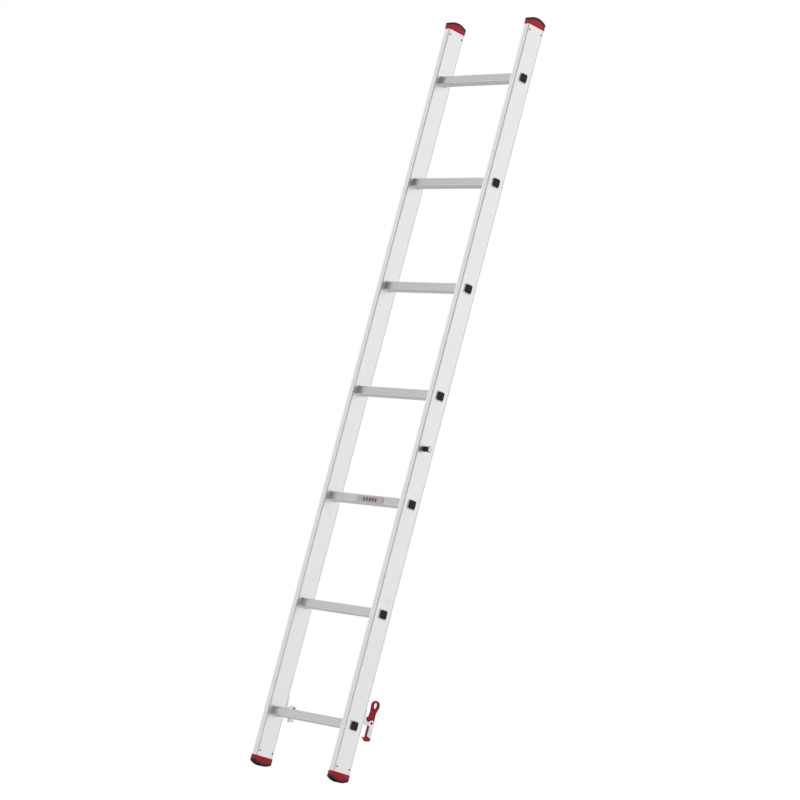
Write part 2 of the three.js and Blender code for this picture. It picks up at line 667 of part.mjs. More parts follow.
function addCaps() {
  const ends = [
    { name: "foot", z: STILE_BOTTOM, turn: 0, up: 1 },
    { name: "top_cap", z: STILE_TOP, turn: Math.PI, up: -1 },
  ];
  const cap = capSolid();
  const tread = treadSolid();
  const rivet = capRivetSolid();
  for (const { name, z, turn, up } of ends)
    for (const { side, sign } of SIDES) {
      const place = [sign * STILE_X, 0, z];
      addPiece(`${name}_${side}`, cap, RED_PLASTIC, place, [0, turn, 0]);
      addPiece(`${name}_${side}_tread`, tread, BLACK_RUBBER, place, [0, turn, 0]);
      ["front", "back"].forEach((end, i) => {
        const at = [sign * STILE_X, capRivetYs[i], z + up * CAP_RIVET_LEVEL];
        addPiece(`${name}_${side}_rivet_${end}`, rivet, STEEL, at);
      });
    }
}

// Only the right-hand stile carries a guide stud.
function addGuideStud() {
  addPiece("guide_sleeve", sleeveSolid(), BLACK_PLASTIC, [0, STUD_Y, STUD_Z]);
  addPiece("guide_stud", studSolid(), STEEL, [0, STUD_Y, STUD_Z]);
}

function addHooks() {
  const hook = hookSolid();
  const rivet = hookRivetSolid();
  for (const { side, sign } of SIDES) {
    addPiece(`hook_${side}`, hook, CAST_ALUMINIUM, [sign * STILE_X, PIVOT_Y, PIVOT_Z]);
    ["lower", "upper"].forEach((end, i) => {
      const at = [sign * STILE_X, BACK_Y, FIRST_RUNG + THROAT_TOP + HOOK_RIVET_LEVELS[i]];
      addPiece(`hook_${side}_rivet_${end}`, rivet, STEEL, at);
    });
  }
  const pivot = [STILE_X, PIVOT_Y, PIVOT_Z];
  addPiece("latch_lever", leverSolid(), RED_PLASTIC, pivot);
  const pin = pinSolid();
  addPiece("latch_pin", pin, DARK_STEEL, pivot);
  addPiece("hook_left_pin", pin, DARK_STEEL, [-STILE_X, PIVOT_Y, PIVOT_Z]);
  addPiece("latch_spring", springSolid(), STEEL, pivot);
}

addStiles();
addRungs();
addCaps();
addGuideStud();
addHooks();

export default ladder;
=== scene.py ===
"""Looks of one aluminium extension ladder section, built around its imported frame.

Laid out as an add-on: sizes and colours are properties, each group of pieces has an operator, and a
panel in the 3D view's sidebar lists them. Run as a script, it makes every piece in order.
"""

import json
import math

import bmesh
import bpy
import numpy as np
from bpy.props import FloatProperty, FloatVectorProperty, IntProperty, PointerProperty
from mathutils import Matrix, Vector


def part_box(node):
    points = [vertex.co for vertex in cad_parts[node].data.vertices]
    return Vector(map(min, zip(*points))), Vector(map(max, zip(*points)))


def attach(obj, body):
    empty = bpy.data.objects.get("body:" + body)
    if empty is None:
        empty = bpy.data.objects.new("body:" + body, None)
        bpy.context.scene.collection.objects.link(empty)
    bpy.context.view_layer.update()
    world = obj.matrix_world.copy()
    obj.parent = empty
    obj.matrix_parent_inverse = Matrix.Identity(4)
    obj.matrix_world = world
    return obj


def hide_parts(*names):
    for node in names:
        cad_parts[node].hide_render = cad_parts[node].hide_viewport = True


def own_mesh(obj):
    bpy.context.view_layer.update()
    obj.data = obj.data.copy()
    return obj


bl_info = {
    "name": "Extension Ladder Section",
    "version": (1, 0, 0),
    "blender": (4, 5, 0),
    "location": "3D View > Sidebar > Ladder",
    "description": "Makes the rails, rungs, caps, hooks and latch of an aluminium ladder section",
    "category": "Object",
}

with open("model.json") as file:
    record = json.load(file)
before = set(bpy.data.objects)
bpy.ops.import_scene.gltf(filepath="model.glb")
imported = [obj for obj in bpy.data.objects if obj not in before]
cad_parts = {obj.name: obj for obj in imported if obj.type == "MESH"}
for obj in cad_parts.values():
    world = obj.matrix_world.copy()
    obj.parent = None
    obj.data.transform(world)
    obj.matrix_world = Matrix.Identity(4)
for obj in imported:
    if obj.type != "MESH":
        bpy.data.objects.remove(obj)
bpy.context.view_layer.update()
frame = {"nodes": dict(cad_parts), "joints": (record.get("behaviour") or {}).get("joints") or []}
MM = 0.001
SECTION = "section"
LATCH = "latch"
PIVOT = Vector(frame["joints"][0]["pos_m"])
RUNG_COUNT = sum(name.startswith("rung_") and name[5:].isdigit() for name in frame["nodes"])
SIDES = ("left", "right")
SHARP = math.radians(32)
ARC_POINTS = 33
TREAD_POINTS = 181


# ---------------------------------------------------------------- sizes and colours
def length(name, description, default_mm):
    """A size given in millimetres and kept in metres."""
    return FloatProperty(
        name=name, description=description, default=default_mm * MM, min=0, precision=5, unit="LENGTH"
    )


def colour(name, description, default):
    """A colour in linear red, green and blue."""
    return FloatVectorProperty(
        name=name, description=description, default=default, min=0, max=1, size=3, subtype="COLOR"
    )


def share(name, description, default):
    """A number from 0 to 1."""
    return FloatProperty(name=name, description=description, default=default, min=0, max=1)


def angle(name, description, degrees):
    """An angle given in degrees."""
    return FloatProperty(name=name, description=description, default=math.radians(degrees), subtype="ANGLE")


def power(name, description, watts):
    """A lamp's power."""
    return FloatProperty(name=name, description=description, default=watts, min=0, unit="POWER")


def count(name, description, default):
    """A number of things."""
    return IntProperty(name=name, description=description, default=default, min=1, max=30)


class StileSizes(bpy.types.PropertyGroup):
    wall: length("Wall", "Wall thickness of the box section", 1.8)
    corner: length("Corner", "Outer corner radius", 1.6)
    bore_corner: length("Inner corner", "Corner radius of the hollow", 0.8)
    groove_width: length("Groove width", "Width of the lengthwise grooves", 1.4)
    groove_depth: length("Groove depth", "Depth of the lengthwise grooves", 0.8)
    groove_edge: length("Groove from edge", "Groove centre from the corner of a wide face", 2.9)
    hole_play: length("Hole play", "Clearance round a rung in its hole", 0.3)


class RungSizes(bpy.types.PropertyGroup):
    size: length("Size", "Side of the square tube", 23)
    wall: length("Wall", "Wall thickness of the tube", 1.8)
    corner: length("Corner", "Outer corner radius", 3)
    flute_pitch: length("Flute pitch", "Distance between the lengthwise flutes", 4)
    flute_depth: length("Flute depth", "Depth of the flutes", 0.6)
    flutes: count("Flutes", "Flutes on each face", 4)
    collar_rise: length("Collar rise", "How far the pressed collars stand proud", 1.7)
    collar_length: length("Collar length", "Length of the inner collar's crest", 3)
    seat: length("Seat", "Gap between the collars and the stile", 0.1)
    plug_thick: length("Plug thickness", "How far a plug's face stands off the tube", 1.6)
    plug_reveal: length("Plug reveal", "Tube left showing round a plug", 0.8)
    plug_corner: length("Plug corner", "Corner radius of a plug's face", 4.5)


class CapSizes(bpy.types.PropertyGroup):
    tread: length("Tread", "Thickness of the rubber on the arch", 6)
    edge: length("Edge", "Rounding of the moulded edges", 0.7)
    rib_depth: length("Rib depth", "Depth of the grooves across the tread", 0.9)
    ribs: count("Ribs", "Ribs across the tread", 11)
    tenon: length("Tenon", "Length of the tongue inside the stile", 27)


class LatchSizes(bpy.types.PropertyGroup):
    handle_rise: length("Handle rise", "Handle's centre above the pivot", 44.3)
    handle_set: length("Handle set", "Handle's centre behind the pivot", 2.8)
    handle_radius: length("Handle radius", "Radius of the handle's round end", 12.6)
    handle_thick: length("Handle thickness", "Thickness of the handle", 6)
    handle_low: length("Handle foot", "Lower edge of the handle above the pivot", 9.8)
    neck: length("Neck", "Half the width of the neck", 9.9)
    waist: length("Waist", "How far each side of the neck draws in", 1.3)
    slot_radius: length("Slot radius", "Radius of the finger slot's ends", 6)
    slot_reach: length("Slot reach", "From the handle's centre to each end of the slot", 1.5)
    rim: length("Rim", "Width of the raised rim round the handle", 1.9)
    recess: length("Recess", "Depth of the panel inside the rim", 0.9)
    blade: length("Blade", "Thickness of the lever between the cheeks", 5)
    leg_back: length("Leg back", "From the pivot to the leg's back edge", 11)
    foot: length("Foot thickness", "Thickness of the foot", 6)
    pin: length("Pin", "Radius of the pivot pin", 2.5)
    wire: length("Spring wire", "Radius of the spring's wire", 0.4)
    coil: length("Spring coil", "Radius of the spring's coil", 1.8)
    turns: count("Turns", "Turns of the spring", 4)


class LadderColours(bpy.types.PropertyGroup):
    stile: colour("Stile", "Mill-finish aluminium of the stiles", (0.94, 0.94, 0.945))
    rung: colour("Rung", "Satin aluminium of the rungs", (0.71, 0.71, 0.715))
    hook: colour("Hook", "Cast aluminium of the hooks", (0.92, 0.92, 0.925))
    red: colour("Cap red", "Moulded plastic of the caps", (0.50, 0.016, 0.028))
    latch: colour("Latch red", "Moulded plastic of the lever", (0.41, 0.010, 0.020))
    black: colour("Plug black", "Moulded plastic of the plugs", (0.012, 0.012, 0.012))
    rubber: colour("Tread black", "Rubber of the treads", (0.022, 0.021, 0.021))
    steel: colour("Steel", "Dull zinc-plated rivets", (0.26, 0.26, 0.27))
    stud: colour("Stud", "Bright plated head of the guide stud", (0.9, 0.9, 0.9))
    wire: colour("Wire", "Bright drawn spring wire", (0.6, 0.6, 0.61))
    pin: colour("Pin", "Blackened steel of the lever's pin", (0.05, 0.042, 0.042))
    # Left hook's pin: the same steel part as the lever's pin, given a lighter grey; no cause for the
    # lighter tone is known.
    left_pin_grey: colour("Left pin", "Worn steel of the left hook's pin", (0.2, 0.19, 0.19))
    label: colour("Label", "Blank film of the label", (0.66, 0.64, 0.63))
    label_bar: colour("Label bars", "Row of plain bars on the label", (0.07, 0.03, 0.035))


class StageSettings(bpy.types.PropertyGroup):
    floor: colour("Floor", "Pale floor", (0.80, 0.80, 0.80))
    sky: share("Sky", "Strength of the soft light all round", 1)
    shade: share("Shade", "How dark the room is on the camera's side", 0.88)
    flank: share("Flank", "How dark the room is on the climber's side", 0.14)
    ceiling: share("Ceiling", "How dark the room is overhead", 0.35)
    key: power("Key light", "Power of the key light", 60)
    fill: power("Fill light", "Power of the fill light", 30)
    heading: angle("Heading", "Camera's turn from the climber's view", 49.3477)
    climb: angle("Climb", "How far the camera looks up", 9.4078)
    roll: angle("Roll", "How far the camera is rolled", 14.7586)
    distance: length("Distance", "From the camera to its aim", 7837.5)
    aim: FloatVectorProperty(
        name="Aim", description="Point in the middle of the view", default=(-0.0102, -0.009, 0.9686),
        size=3, subtype="TRANSLATION",
    )
    lens: FloatProperty(name="Lens", description="Focal length", default=140.2436, unit="CAMERA")


class LadderSettings(bpy.types.PropertyGroup):
    stile: PointerProperty(type=StileSizes)
    rung: PointerProperty(type=RungSizes)
    cap: PointerProperty(type=CapSizes)
    latch: PointerProperty(type=LatchSizes)
    colours: PointerProperty(type=LadderColours)
    stage: PointerProperty(type=StageSettings)


# ---------------------------------------------------------------- shells
class Shell:
    """A closed surface: points, quads, and any flat faces with more corners."""

    def __init__(self, points, quads, flats=()):
        self.points = np.asarray(points, float).reshape(-1, 3)
        self.quads = np.asarray(quads, int).reshape(-1, 4)
        self.flats = [np.asarray(flat, int) for flat in flats]
        if self.volume() < 0:
            self.quads = self.quads[:, ::-1]
            self.flats = [flat[::-1] for flat in self.flats]

    def volume(self):
        """Six times the signed volume: the sum, over triangles fanned from each face's first corner, of
        the corners' triple product. It is positive when the faces look outwards."""
        fans = [self.quads[:, [0, 1, 2]], self.quads[:, [0, 2, 3]]]
        for flat in self.flats:
            fans.append(np.stack([np.full(len(flat) - 2, flat[0]), flat[1:-1], flat[2:]], 1))
        a, b, c = self.points[np.concatenate(fans)].transpose(1, 0, 2)
        return float(np.einsum("ij,ij->", a, np.cross(b, c)))

    def __add__(self, other):
        start = len(self.points)
        points = np.concatenate([self.points, other.points])
        quads = np.concatenate([self.quads, other.quads + start])
        return Shell(points, quads, self.flats + [flat + start for flat in other.flats])

    def moved(self, offset):
        return Shell(self.points + np.asarray(offset, float), self.quads, self.flats)

    def mirrored(self, axis=0):
        """The shell on the other side of the plane through the origin across an axis."""
        points = self.points.copy()
        points[:, axis] *= -1
        return Shell(points, self.quads, self.flats)


def grid_quads(rows, columns, wrap_rows=False, wrap_columns=True):
    """Corner numbers of the quads of a grid: (row, column), its right neighbour, and both one row on."""
    row, column = np.meshgrid(
        np.arange(rows if wrap_rows else rows - 1),
        np.arange(columns if wrap_columns else columns - 1),
        indexing="ij",
    )
    right = (column + 1) % columns
    here, above = row * columns, (row + 1) % rows * columns
    corners = [here + column, here + right, above + right, above + column]
    return np.stack([corner.ravel() for corner in corners], 1)


def stacked_shell(loops):
    """Loops of points, one above the other, joined by quads and closed by a flat face at each end."""
    levels, count, _ = loops.shape
    last = np.arange(count) + (levels - 1) * count
    return Shell(loops, grid_quads(levels, count), [np.arange(count)[::-1], last])


def ring_shell(loops):
    """Loops joined one to the next and the last to the first, as round a picture frame or a pipe."""
    levels, count, _ = loops.shape
    return Shell(loops, grid_quads(levels, count, wrap_rows=True))


def turned_shell(profile, centre, axis=0, segments=32):
    """A profile turned about a line along one axis. At each turn angle a, a profile point (along, radius)
    lies at the centre plus along on the axis and radius times cos a and sin a on the other two."""
    angle = np.linspace(0, 2 * np.pi, segments, endpoint=False)
    along, radius = np.asarray(profile, float).T
    loops = np.empty((len(along), segments, 3))
    loops[:, :, axis] = along[:, None]
    loops[:, :, (axis + 1) % 3] = radius[:, None] * np.cos(angle)
    loops[:, :, (axis + 2) % 3] = radius[:, None] * np.sin(angle)
    return stacked_shell(loops + np.asarray(centre, float))


def walled_shell(outer, inner, kept):
    """Two skins over the same grid, joined by a wall round every opening.

    outer and inner are loops of points and kept says which cells between them are there. A cell's faces
    are on both skins. Wherever a kept cell borders a missing one, or the end of the stack, a quad joins
    the two skins along their common edge."""
    levels, count, _ = outer.shape
    number = np.arange(levels * count).reshape(levels, count)
    following = np.roll(number, -1, axis=1)
    depth = levels * count
    corners = np.stack([number[:-1], following[:-1], following[1:], number[1:]], -1)
    faces = [corners[kept], (corners + depth)[kept][:, ::-1]]
    before = np.roll(kept, 1, axis=1)
    upright = np.stack([number[:-1], number[:-1] + depth, number[1:] + depth, number[1:]], -1)
    faces += [upright[before & ~kept], upright[~before & kept][:, ::-1]]
    padded = np.pad(kept, ((1, 1), (0, 0)))
    below, above = padded[:-1], padded[1:]
    level = np.stack([number, following, following + depth, number + depth], -1)
    faces += [level[below & ~above], level[~below & above][:, ::-1]]
    return Shell(np.concatenate([outer.reshape(-1, 3), inner.reshape(-1, 3)]), np.concatenate(faces))


def smooth_step(low, high, value):
    """0 below low, 1 above high, and 3t² - 2t³ between them."""
    t = np.clip((np.asarray(value, float) - low) / (high - low), 0, 1)
    return t * t * (3 - 2 * t)


def inset(loop, distance):
    """A closed flat loop, counterclockwise, drawn in by a distance. Each point moves along the mean of
    its two edges' normals, stretched so that the edges stay parallel to themselves."""
    edge = np.roll(loop, -1, axis=0) - loop
    edge /= np.linalg.norm(edge, axis=1, keepdims=True)
    normal = np.stack([edge[:, 1], -edge[:, 0]], 1)
    before = np.roll(normal, 1, axis=0)
    shared = 1 + np.einsum("ij,ij->i", normal, before)
    return loop - distance * (normal + before) / np.maximum(shared, 0.5)[:, None]


def plane_loops(outline, levels, axis=0):
    """The outline repeated at each (place on the axis, inset) of levels, in the plane across the axis."""
    loops = np.empty((len(levels), len(outline), 3))
    for loop, (place, distance) in zip(loops, levels):
        loop[:, axis] = place
        loop[:, [(axis + 1) % 3, (axis + 2) % 3]] = inset(outline, distance)
    return loops


def slab_levels(low, high, edge, steps=3):
    """Levels of a slab whose two edges are rounded: at a quarter turn's angle a from its face, a level
    lies edge (1 - sin a) inside the face and is drawn in by edge (1 - cos a)."""
    angle = np.linspace(math.pi / 2, 0, steps + 1)
    near = [(low + edge * (1 - math.sin(a)), edge * (1 - math.cos(a))) for a in angle]
    far = [(low + high - place, distance) for place, distance in reversed(near)]
    return near + far


def slab_shell(outline, half, edge, steps=3):
    """A slab across the X axis with rounded edges, from -half to half."""
    return stacked_shell(plane_loops(outline, slab_levels(-half, half, edge, steps)))


def towards(angle):
    """Unit directions (cos a, sin a)."""
    return np.stack([np.cos(angle), np.sin(angle)], 1)


def side_frame(side, width, height, steps):
    """One side of a rectangle, counterclockwise from the lowest: the directions along it and outwards,
    half its length, its distance from the centre, and the directions round the corner at its end."""
    turn = side * math.pi / 2
    run = np.array([math.cos(turn), math.sin(turn)])
    out = np.array([math.sin(turn), -math.cos(turn)])
    half, reach = (width / 2, height / 2) if side % 2 == 0 else (height / 2, width / 2)
    bend = towards(turn - math.pi / 2 + np.linspace(0, math.pi / 2, steps + 2)[1:-1])
    return run, out, half, reach, bend


def rounded_loop(width, height, radius, along=3, steps=6):
    """A rounded rectangle, counterclockwise. Returns its points, their outward directions, and each
    point's distance from the middle of its side, which is the half side all round a corner."""
    points, normals, distances = [], [], []
    for side in range(4):
        run, out, half, reach, bend = side_frame(side, width, height, steps)
        t = np.linspace(-half + radius, half - radius, along)
        centre = run * (half - radius) + out * (reach - radius)
        points += [t[:, None] * run + out * reach, centre + radius * bend]
        normals += [np.tile(out, (along, 1)), bend]
        distances += [t, np.full(steps, half)]
    return np.concatenate(points), np.concatenate(normals), np.concatenate(distances)


# ---------------------------------------------------------------- shader maths
class Value:
    """A number that changes over a surface. Its operators add Math nodes to its finish."""

    def __init__(self, finish, socket):
        self.finish = finish
        self.socket = socket

    def math(self, operation, first, second):
        node = self.finish.node("Math", {0: first, 1: second}, operation=operation)
        return Value(self.finish, node.outputs[0])

    def __add__(self, other):
        return self.math("ADD", self, other)

    def __sub__(self, other):
        return self.math("SUBTRACT", self, other)

    def __rsub__(self, other):
        return self.math("SUBTRACT", other, self)

    def __mul__(self, other):
        return self.math("MULTIPLY", self, other)

    def __truediv__(self, other):
        return self.math("DIVIDE", self, other)

    def __abs__(self):
        return self.math("ABSOLUTE", self, 0)

    def wave(self, pitch):
        """0 at every whole pitch and 1 halfway between, in straight lines from one to the other."""
        return self.math("PINGPONG", self, pitch / 2) / (pitch / 2)

    def step(self, low, high):
        """0 below low, 1 above high, smooth between."""
        inputs = {"Value": self, "From Min": low, "From Max": high}
        node = self.finish.node("MapRange", inputs, interpolation_type="SMOOTHSTEP")
        return Value(self.finish, node.outputs[0])

    __radd__ = __add__
    __rmul__ = __mul__


class Finish:
    """A material, or the sky: the nodes that make it, and the place on it that feeds them."""

    def __init__(self, name, kind="materials", place="Object"):
        self.made = getattr(bpy.data, kind).new(name)
        self.made.use_nodes = True
        self.tree = self.made.node_tree
        self.tree.nodes.clear()
        self.place = self.node("TexCoord").outputs[place]

    def node(self, kind, inputs=None, **options):
        """Adds a node. Its options come first, then the values or links of its sockets."""
        node = self.tree.nodes.new(f"ShaderNode{kind}")
        for key, value in options.items():
            setattr(node, key, value)
        for key, value in (inputs or {}).items():
            if isinstance(value, Value):
                value = value.socket
            if isinstance(value, bpy.types.NodeSocket):
                self.tree.links.new(value, node.inputs[key])
            else:
                node.inputs[key].default_value = value
        return node

    def axis(self, number):
        """The point's distance along X, Y or Z from the origin, in metres."""
        return Value(self, self.node("SeparateXYZ", {0: self.place}).outputs[number])

    def scaled(self, scale):
        """The place times the number of lumps in a metre, given once or for each of X, Y and Z."""
        inputs = {"Vector": self.place, "Scale": np.broadcast_to(scale, 3).tolist()}
        return self.node("Mapping", inputs).outputs[0]

    def noise(self, scale, detail=2, roughness=0.5):
        """Smooth noise from 0 to 1."""
        inputs = {"Vector": self.scaled(scale), "Scale": 1, "Detail": detail, "Roughness": roughness}
        return Value(self, self.node("TexNoise", inputs).outputs["Fac"])

    def cells(self, scale):
        """Distance from scattered points, 0 at each one."""
        inputs = {"Vector": self.scaled(scale), "Scale": 1}
        return Value(self, self.node("TexVoronoi", inputs).outputs["Distance"])

    def toned(self, tint, tone):
        """A colour times a number that changes over the surface."""
        return self.node("VectorMath", {0: tuple(tint), "Scale": tone}, operation="SCALE").outputs[0]

    def blended(self, base, tint, share):
        """The base, itself made by nodes, where share is 0 and the plain tint where it is 1."""
        return self.node("Mix", {0: share, 6: base, 7: (*tint, 1)}, data_type="RGBA").outputs[2]

    def relief(self, height, distance, strength):
        """The normal of a surface raised by height times distance."""
        inputs = {"Height": height, "Distance": distance, "Strength": strength}
        return self.node("Bump", inputs).outputs[0]

    def done(self, **inputs):
        """Ends a material with its surface shader and returns it. Names are the shader's sockets."""
        sockets = {key.replace("_", " "): value for key, value in inputs.items()}
        return self.ended("Material", self.node("BsdfPrincipled", sockets))

    def metal(self, tint, tone, roughness, normal):
        """Ends a bare metal."""
        return self.done(Base_Color=self.toned(tint, tone), Metallic=1, Roughness=roughness, Normal=normal)

    def ended(self, kind, shader):
        """Leads a shader to the output of a Material or a World, and returns what was made."""
        self.node(f"Output{kind}", {"Surface": shader.outputs[0]})
        return self.made


def drawn_metal(name, tint, run, roughness):
    """Extruded metal: fine die lines along the axis `run`, a faint cloudiness and scattered rub marks."""
    finish = Finish(name)
    fine, streaks = [1600.0] * 3, [260.0] * 3
    fine[run], streaks[run] = 5.0, 1.3
    die = finish.noise(fine, detail=3)
    streak = finish.noise(streaks)
    cloud = finish.noise(9, detail=3)
    rub = finish.noise(40, detail=5, roughness=0.7).step(0.6, 0.72)
    tone = 0.955 + 0.05 * streak + 0.05 * cloud - 0.03 * rub
    rough = roughness - 0.05 + 0.07 * streak + 0.09 * cloud + 0.08 * rub
    return finish.metal(tint, tone, rough, finish.relief(die * 0.6 + streak * 0.4, 0.06 * MM, 0.5))


def cast_metal(name, tint, roughness):
    """Blasted casting: fine even grain, a few shallow pits, brighter where it has been rubbed."""
    finish = Finish(name)
    grain = finish.noise(2200)
    pits = 1 - finish.cells(420).step(0.05, 0.3)
    worn = finish.noise(70, detail=3).step(0.48, 0.62)
    tone = 0.9 + 0.08 * grain + 0.07 * worn - 0.12 * pits
    rough = roughness + 0.1 * grain - 0.12 * worn
    return finish.metal(tint, tone, rough, finish.relief(grain - 0.6 * pits, 0.12 * MM, 0.6))


def plated_metal(name, tint, roughness):
    """Plated or bright small parts: a soft mottle and fine scratches."""
    finish = Finish(name)
    mottle = finish.noise(500, detail=3)
    scratch = finish.noise((3000, 200, 900))
    rough = roughness + 0.12 * mottle
    return finish.metal(tint, 0.88 + 0.2 * mottle, rough, finish.relief(scratch, 0.03 * MM, 0.5))


def moulded(name, tint, roughness, grain, scuff, shine=0.25):
    """Moulded plastic: spark-eroded grain, a slow change of shade, and pale scuffs on a few spots."""
    finish = Finish(name)
    texture = finish.noise(1500)
    base = finish.toned(tint, 0.9 + 0.2 * finish.noise(45))
    pale = [0.72 * part + 0.09 for part in tint]
    scuffs = finish.noise((130, 130, 420), detail=5, roughness=0.7).step(0.63, 0.75)
    return finish.done(
        Base_Color=finish.blended(base, pale, scuffs * scuff),
        Roughness=roughness + 0.1 * texture + 0.15 * scuffs,
        Normal=finish.relief(texture, grain, 0.6),
        Specular_IOR_Level=shine,
    )


def rubber(name, tint, roughness):
    """Rubber: matt, finely grained, with grey dust where it has been trodden."""
    finish = Finish(name)
    grain = finish.noise(900, detail=4, roughness=0.65)
    dust = finish.noise(60, detail=4, roughness=0.6).step(0.5, 0.72)
    base = finish.toned(tint, 0.75 + 0.5 * grain)
    return finish.done(
        Base_Color=finish.blended(base, (0.11, 0.105, 0.1), dust * 0.35),
        Roughness=roughness + 0.1 * dust,
        Normal=finish.relief(grain, 0.2 * MM, 0.6),
    )


def label_film(name, tint, bar, low, high):
    """Film with a row of plain upright bars along its middle, on a faint patch of the bars' colour."""
    finish = Finish(name)
    centre, half = (low + high) / 2, (high - low) / 2
    across = abs(finish.axis(2) - centre.z) / half.z
    along = abs(finish.axis(0) - centre.x) / half.x
    bars = (finish.axis(0) - low.x).wave(11 * MM).step(0.3, 0.45)
    bars = bars * (1 - across.step(0.5, 0.62)) * (1 - along.step(0.54, 0.56))
    patch = (1 - across.step(0.6, 1)) * (1 - along.step(0.45, 0.85))
    worn = finish.noise(350, detail=4).step(0.35, 0.5)
    blush = finish.blended(finish.toned(tint, 0.94 + 0.1 * worn), (0.70, 0.52, 0.54), patch * 0.5)
    return finish.done(
        Base_Color=finish.blended(blush, bar, bars * (0.6 + 0.3 * worn)),
        Roughness=0.42 + 0.15 * worn,
        Normal=finish.relief(worn, 0.02 * MM, 0.4),
    )


# ---------------------------------------------------------------- pieces
def settings():
    return bpy.context.scene.ladder


def finish_of(name, make, *values):
    """The material of that name, made on its first use."""
    return bpy.data.materials.get(name) or make(name, *values)


def steel():
    return finish_of("zinc_plate", plated_metal, settings().colours.steel, 0.3)


def black_plastic():
    return finish_of("black_plastic", moulded, settings().colours.black, 0.4, 0.05 * MM, 0.12)


def middle(node):
    """The middle of a node's box."""
    return sum(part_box(node), Vector()) / 2


def foot_of_line(low, high, axis=0):
    """Where the box's middle line along an axis meets the plane through the origin."""
    centre = (low + high) / 2
    centre[axis] = 0
    return centre


def mesh_of(name, shell):
    """A mesh with the shell's points and faces."""
    mesh = bpy.data.meshes.new(name)
    flats = [flat.tolist() for flat in shell.flats]
    mesh.from_pydata(shell.points.tolist(), [], shell.quads.tolist() + flats)
    return mesh


def placed(name, data):
    """A new object, linked to the scene."""
    thing = bpy.data.objects.new(name, data)
    bpy.context.scene.collection.objects.link(thing)
    return thing


def add_mesh(name, mesh, material, node, body=SECTION):
    """Makes a mesh into a piece that rides on a body and stands for a CAD node."""
    mesh.polygons.foreach_set("use_smooth", np.ones(len(mesh.polygons), bool))
    mesh.set_sharp_from_angle(angle=SHARP)
    mesh.materials.clear()
    mesh.materials.append(material)
    piece = placed(name, mesh)
    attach(piece, body)
    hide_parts(node)
    return piece


def add_piece(name, shell, material, node):
    """Makes a shell into a piece of the section."""
    mesh = mesh_of(name, shell)
    if mesh.validate():
        raise RuntimeError(f"the faces of {name} don't hold together")
    return add_mesh(name, mesh, material, node)


def stile_loops():
    """The stile's outer and inner loops about its axis, and where a rung's hole is.

    Each side runs from corner to corner. A point at t from the middle of its side lies at the side's
    reach, less the groove's depth where it is in a groove. Across a groove, u from -1 to 1, the depth is
    1 less the smooth step of |u| from 0.6 to 1."""
    sizes = settings().stile
    low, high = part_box("stile_right")
    width, depth = high.x - low.x, high.y - low.y
    hole = settings().rung.size / 2 + sizes.hole_play
    u = np.linspace(-1, 1, 13)
    groove = u * sizes.groove_width / 2
    dip = sizes.groove_depth * (1 - smooth_step(0.6, 1, np.abs(u)))
    hair = 1e-9
    outer, inner, open_side = [], [], []
    for side in range(4):
        run, out, across, reach, bend = side_frame(side, width, depth, 5)
        wide = side % 2 == 1
        half = across - sizes.corner
        half_in = across - sizes.wall - sizes.bore_corner
        marks = np.array([-1, 1]) * (across - sizes.groove_edge) if wide else np.zeros(1)
        t = (marks[:, None] + groove).ravel()
        drop = np.tile(dip, len(marks))
        if wide:
            t = np.concatenate([t, [-hole, hole]])
            drop = np.concatenate([drop, [0, 0]])
        order = np.argsort(t)
        t = np.concatenate([[-half], t[order], [half]])
        drop = np.concatenate([[0], drop[order], [0]])
        t_in = t * half_in / half
        if wide:
            t_in = np.interp(t, [-half, -hole, hole, half], [-half_in, -hole, hole, half_in])
        corner = run * half + out * (reach - sizes.corner)
        corner_in = run * half_in + out * (reach - sizes.wall - sizes.bore_corner)
        outer += [t[:, None] * run + (reach - drop)[:, None] * out, corner + sizes.corner * bend]
        inner += [t_in[:, None] * run + (reach - sizes.wall) * out, corner_in + sizes.bore_corner * bend]
        open_side += [wide & (t >= -hole - hair) & (t < hole - hair), np.zeros(len(bend), bool)]
    return np.concatenate(outer), np.concatenate(inner), np.concatenate(open_side)


def stile_shell(side):
    """A stile: its loops carried up from end to end, with a square hole through both wide walls at each
    rung. The levels are the two ends and each hole's lower and upper edge."""
    low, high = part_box(f"stile_{side}")
    outer, inner, open_side = stile_loops()
    hole = settings().rung.size / 2 + settings().stile.hole_play
    centres = [middle(f"rung_{i + 1}").z for i in range(RUNG_COUNT)]
    levels = np.array([low.z, *[z + edge for z in centres for edge in (-hole, hole)], high.z])
    in_hole = np.arange(len(levels) - 1) % 2 == 1
    kept = ~(in_hole[:, None] & open_side[None, :])
    centre = np.array((low + high) / 2)[:2]
    skins = []
    for loop in (outer, inner):
        skin = np.empty((len(levels), len(loop), 3))
        skin[:, :, :2] = loop + centre
        skin[:, :, 2] = levels[:, None]
        skins.append(skin)
    return walled_shell(*skins, kept)


